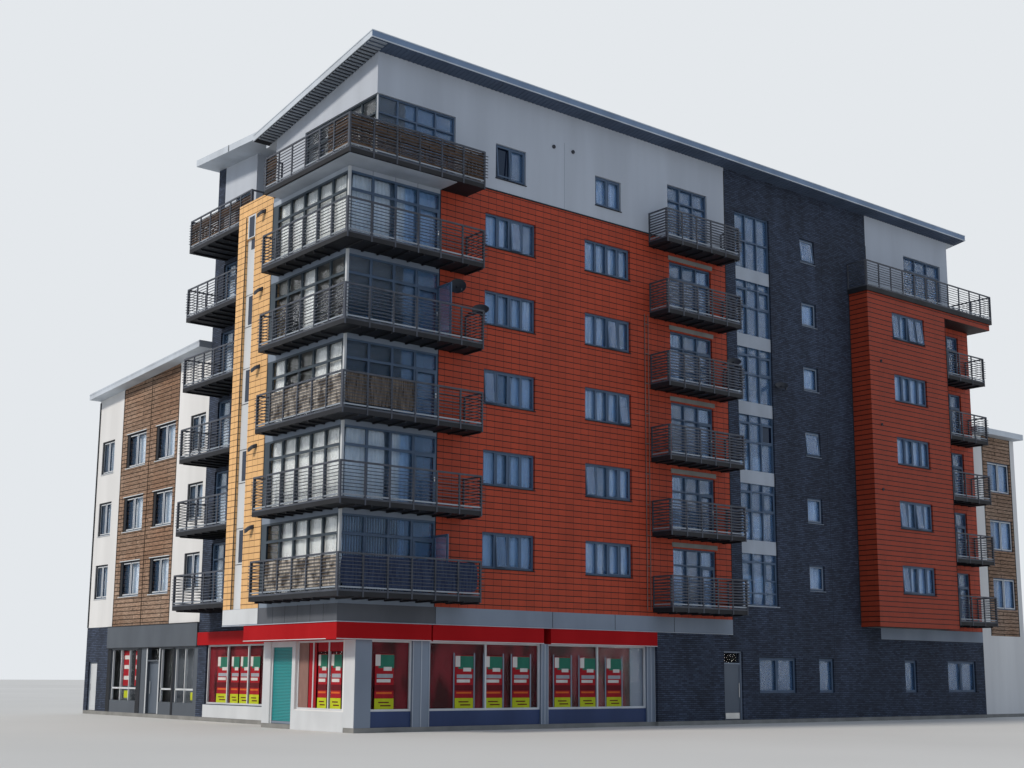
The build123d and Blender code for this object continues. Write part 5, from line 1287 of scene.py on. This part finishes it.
class BLOCK_OT_dishes(bpy.types.Operator):
    """Dark receiver dishes on their brackets at the balcony ends."""
    bl_idname = "block.dishes"
    bl_label = "Receiver dishes"

    def execute(self, context):
        for n, (x, y, z, radius, turn) in enumerate((
                (4.10, -0.45, 14.66, 0.30, 70), (4.92, -0.66, 13.95, 0.30, 48),
                (17.60, -0.66, 14.02, 0.28, 42), (20.85, -0.32, 13.55, 0.27, 42)), 1):
            select()
            bpy.ops.mesh.primitive_uv_sphere_add(segments=24, ring_count=16, radius=radius * 2,
                                                 location=(0, 0, 0))
            dish = settle(f"dish_{n}")
            bpy.ops.mesh.bisect(plane_co=(0, 0, -radius * 1.73), plane_no=(0, 0, 1),
                                clear_outer=True)
            bpy.ops.object.mode_set(mode="OBJECT")
            modify(dish, "SOLIDIFY", thickness=0.012, offset=0)
            dish.matrix_world = (Matrix.Translation(at(x, y, z))
                                 @ Matrix.Rotation(radians(-40), 4, "Z")
                                 @ Matrix.Rotation(radians(turn), 4, "X")
                                 @ Matrix.Translation((0, 0, radius * 1.8)))
            end(settle(f"dish_{n}"), "dish_metal", smooth=35)
            blocks(f"dish_arm_{n}", [
                (x - 0.02, x + 0.02, y, 0.0, z - 0.03, z + 0.01),
                (x - 0.015, x + 0.015, y - 0.2, y, z - 0.22, z - 0.19),
                (x - 0.03, x + 0.03, y - 0.24, y - 0.18, z - 0.2, z - 0.12)], "dish_metal",
                0.006)
        return {"FINISHED"}


ORDER = ("stage", "finishes", "windows", "curtains", "bay", "rails", "screens", "walls", "shops",
         "wing", "doors", "roof", "dishes")


class BLOCK_PT_panel(bpy.types.Panel):
    """Sidebar panel with the settings and the steps that build the block's small parts."""
    bl_label = "Apartment block"
    bl_idname = "BLOCK_PT_panel"
    bl_space_type = "VIEW_3D"
    bl_region_type = "UI"
    bl_category = "Block"

    def draw(self, context):
        for group in (context.scene.block_sizes, context.scene.block_colours):
            box = self.layout.box()
            for name in type(group).__annotations__:
                box.prop(group, name)
        for name in ORDER:
            self.layout.operator("block." + name)


CLASSES = (BlockSizes, BlockColours, BLOCK_OT_stage, BLOCK_OT_finishes, BLOCK_OT_windows,
           BLOCK_OT_curtains, BLOCK_OT_bay, BLOCK_OT_rails, BLOCK_OT_screens, BLOCK_OT_walls,
           BLOCK_OT_shops, BLOCK_OT_wing, BLOCK_OT_doors, BLOCK_OT_roof, BLOCK_OT_dishes,
           BLOCK_PT_panel)


def register():
    for cls in CLASSES:
        bpy.utils.register_class(cls)
    bpy.types.Scene.block_sizes = PointerProperty(type=BlockSizes)
    bpy.types.Scene.block_colours = PointerProperty(type=BlockColours)


def unregister():
    del bpy.types.Scene.block_colours
    del bpy.types.Scene.block_sizes
    for cls in reversed(CLASSES):
        bpy.utils.unregister_class(cls)


def main():
    register()
    for name in ORDER:
        getattr(bpy.ops.block, name)()


if __name__ == "__main__":
    main()
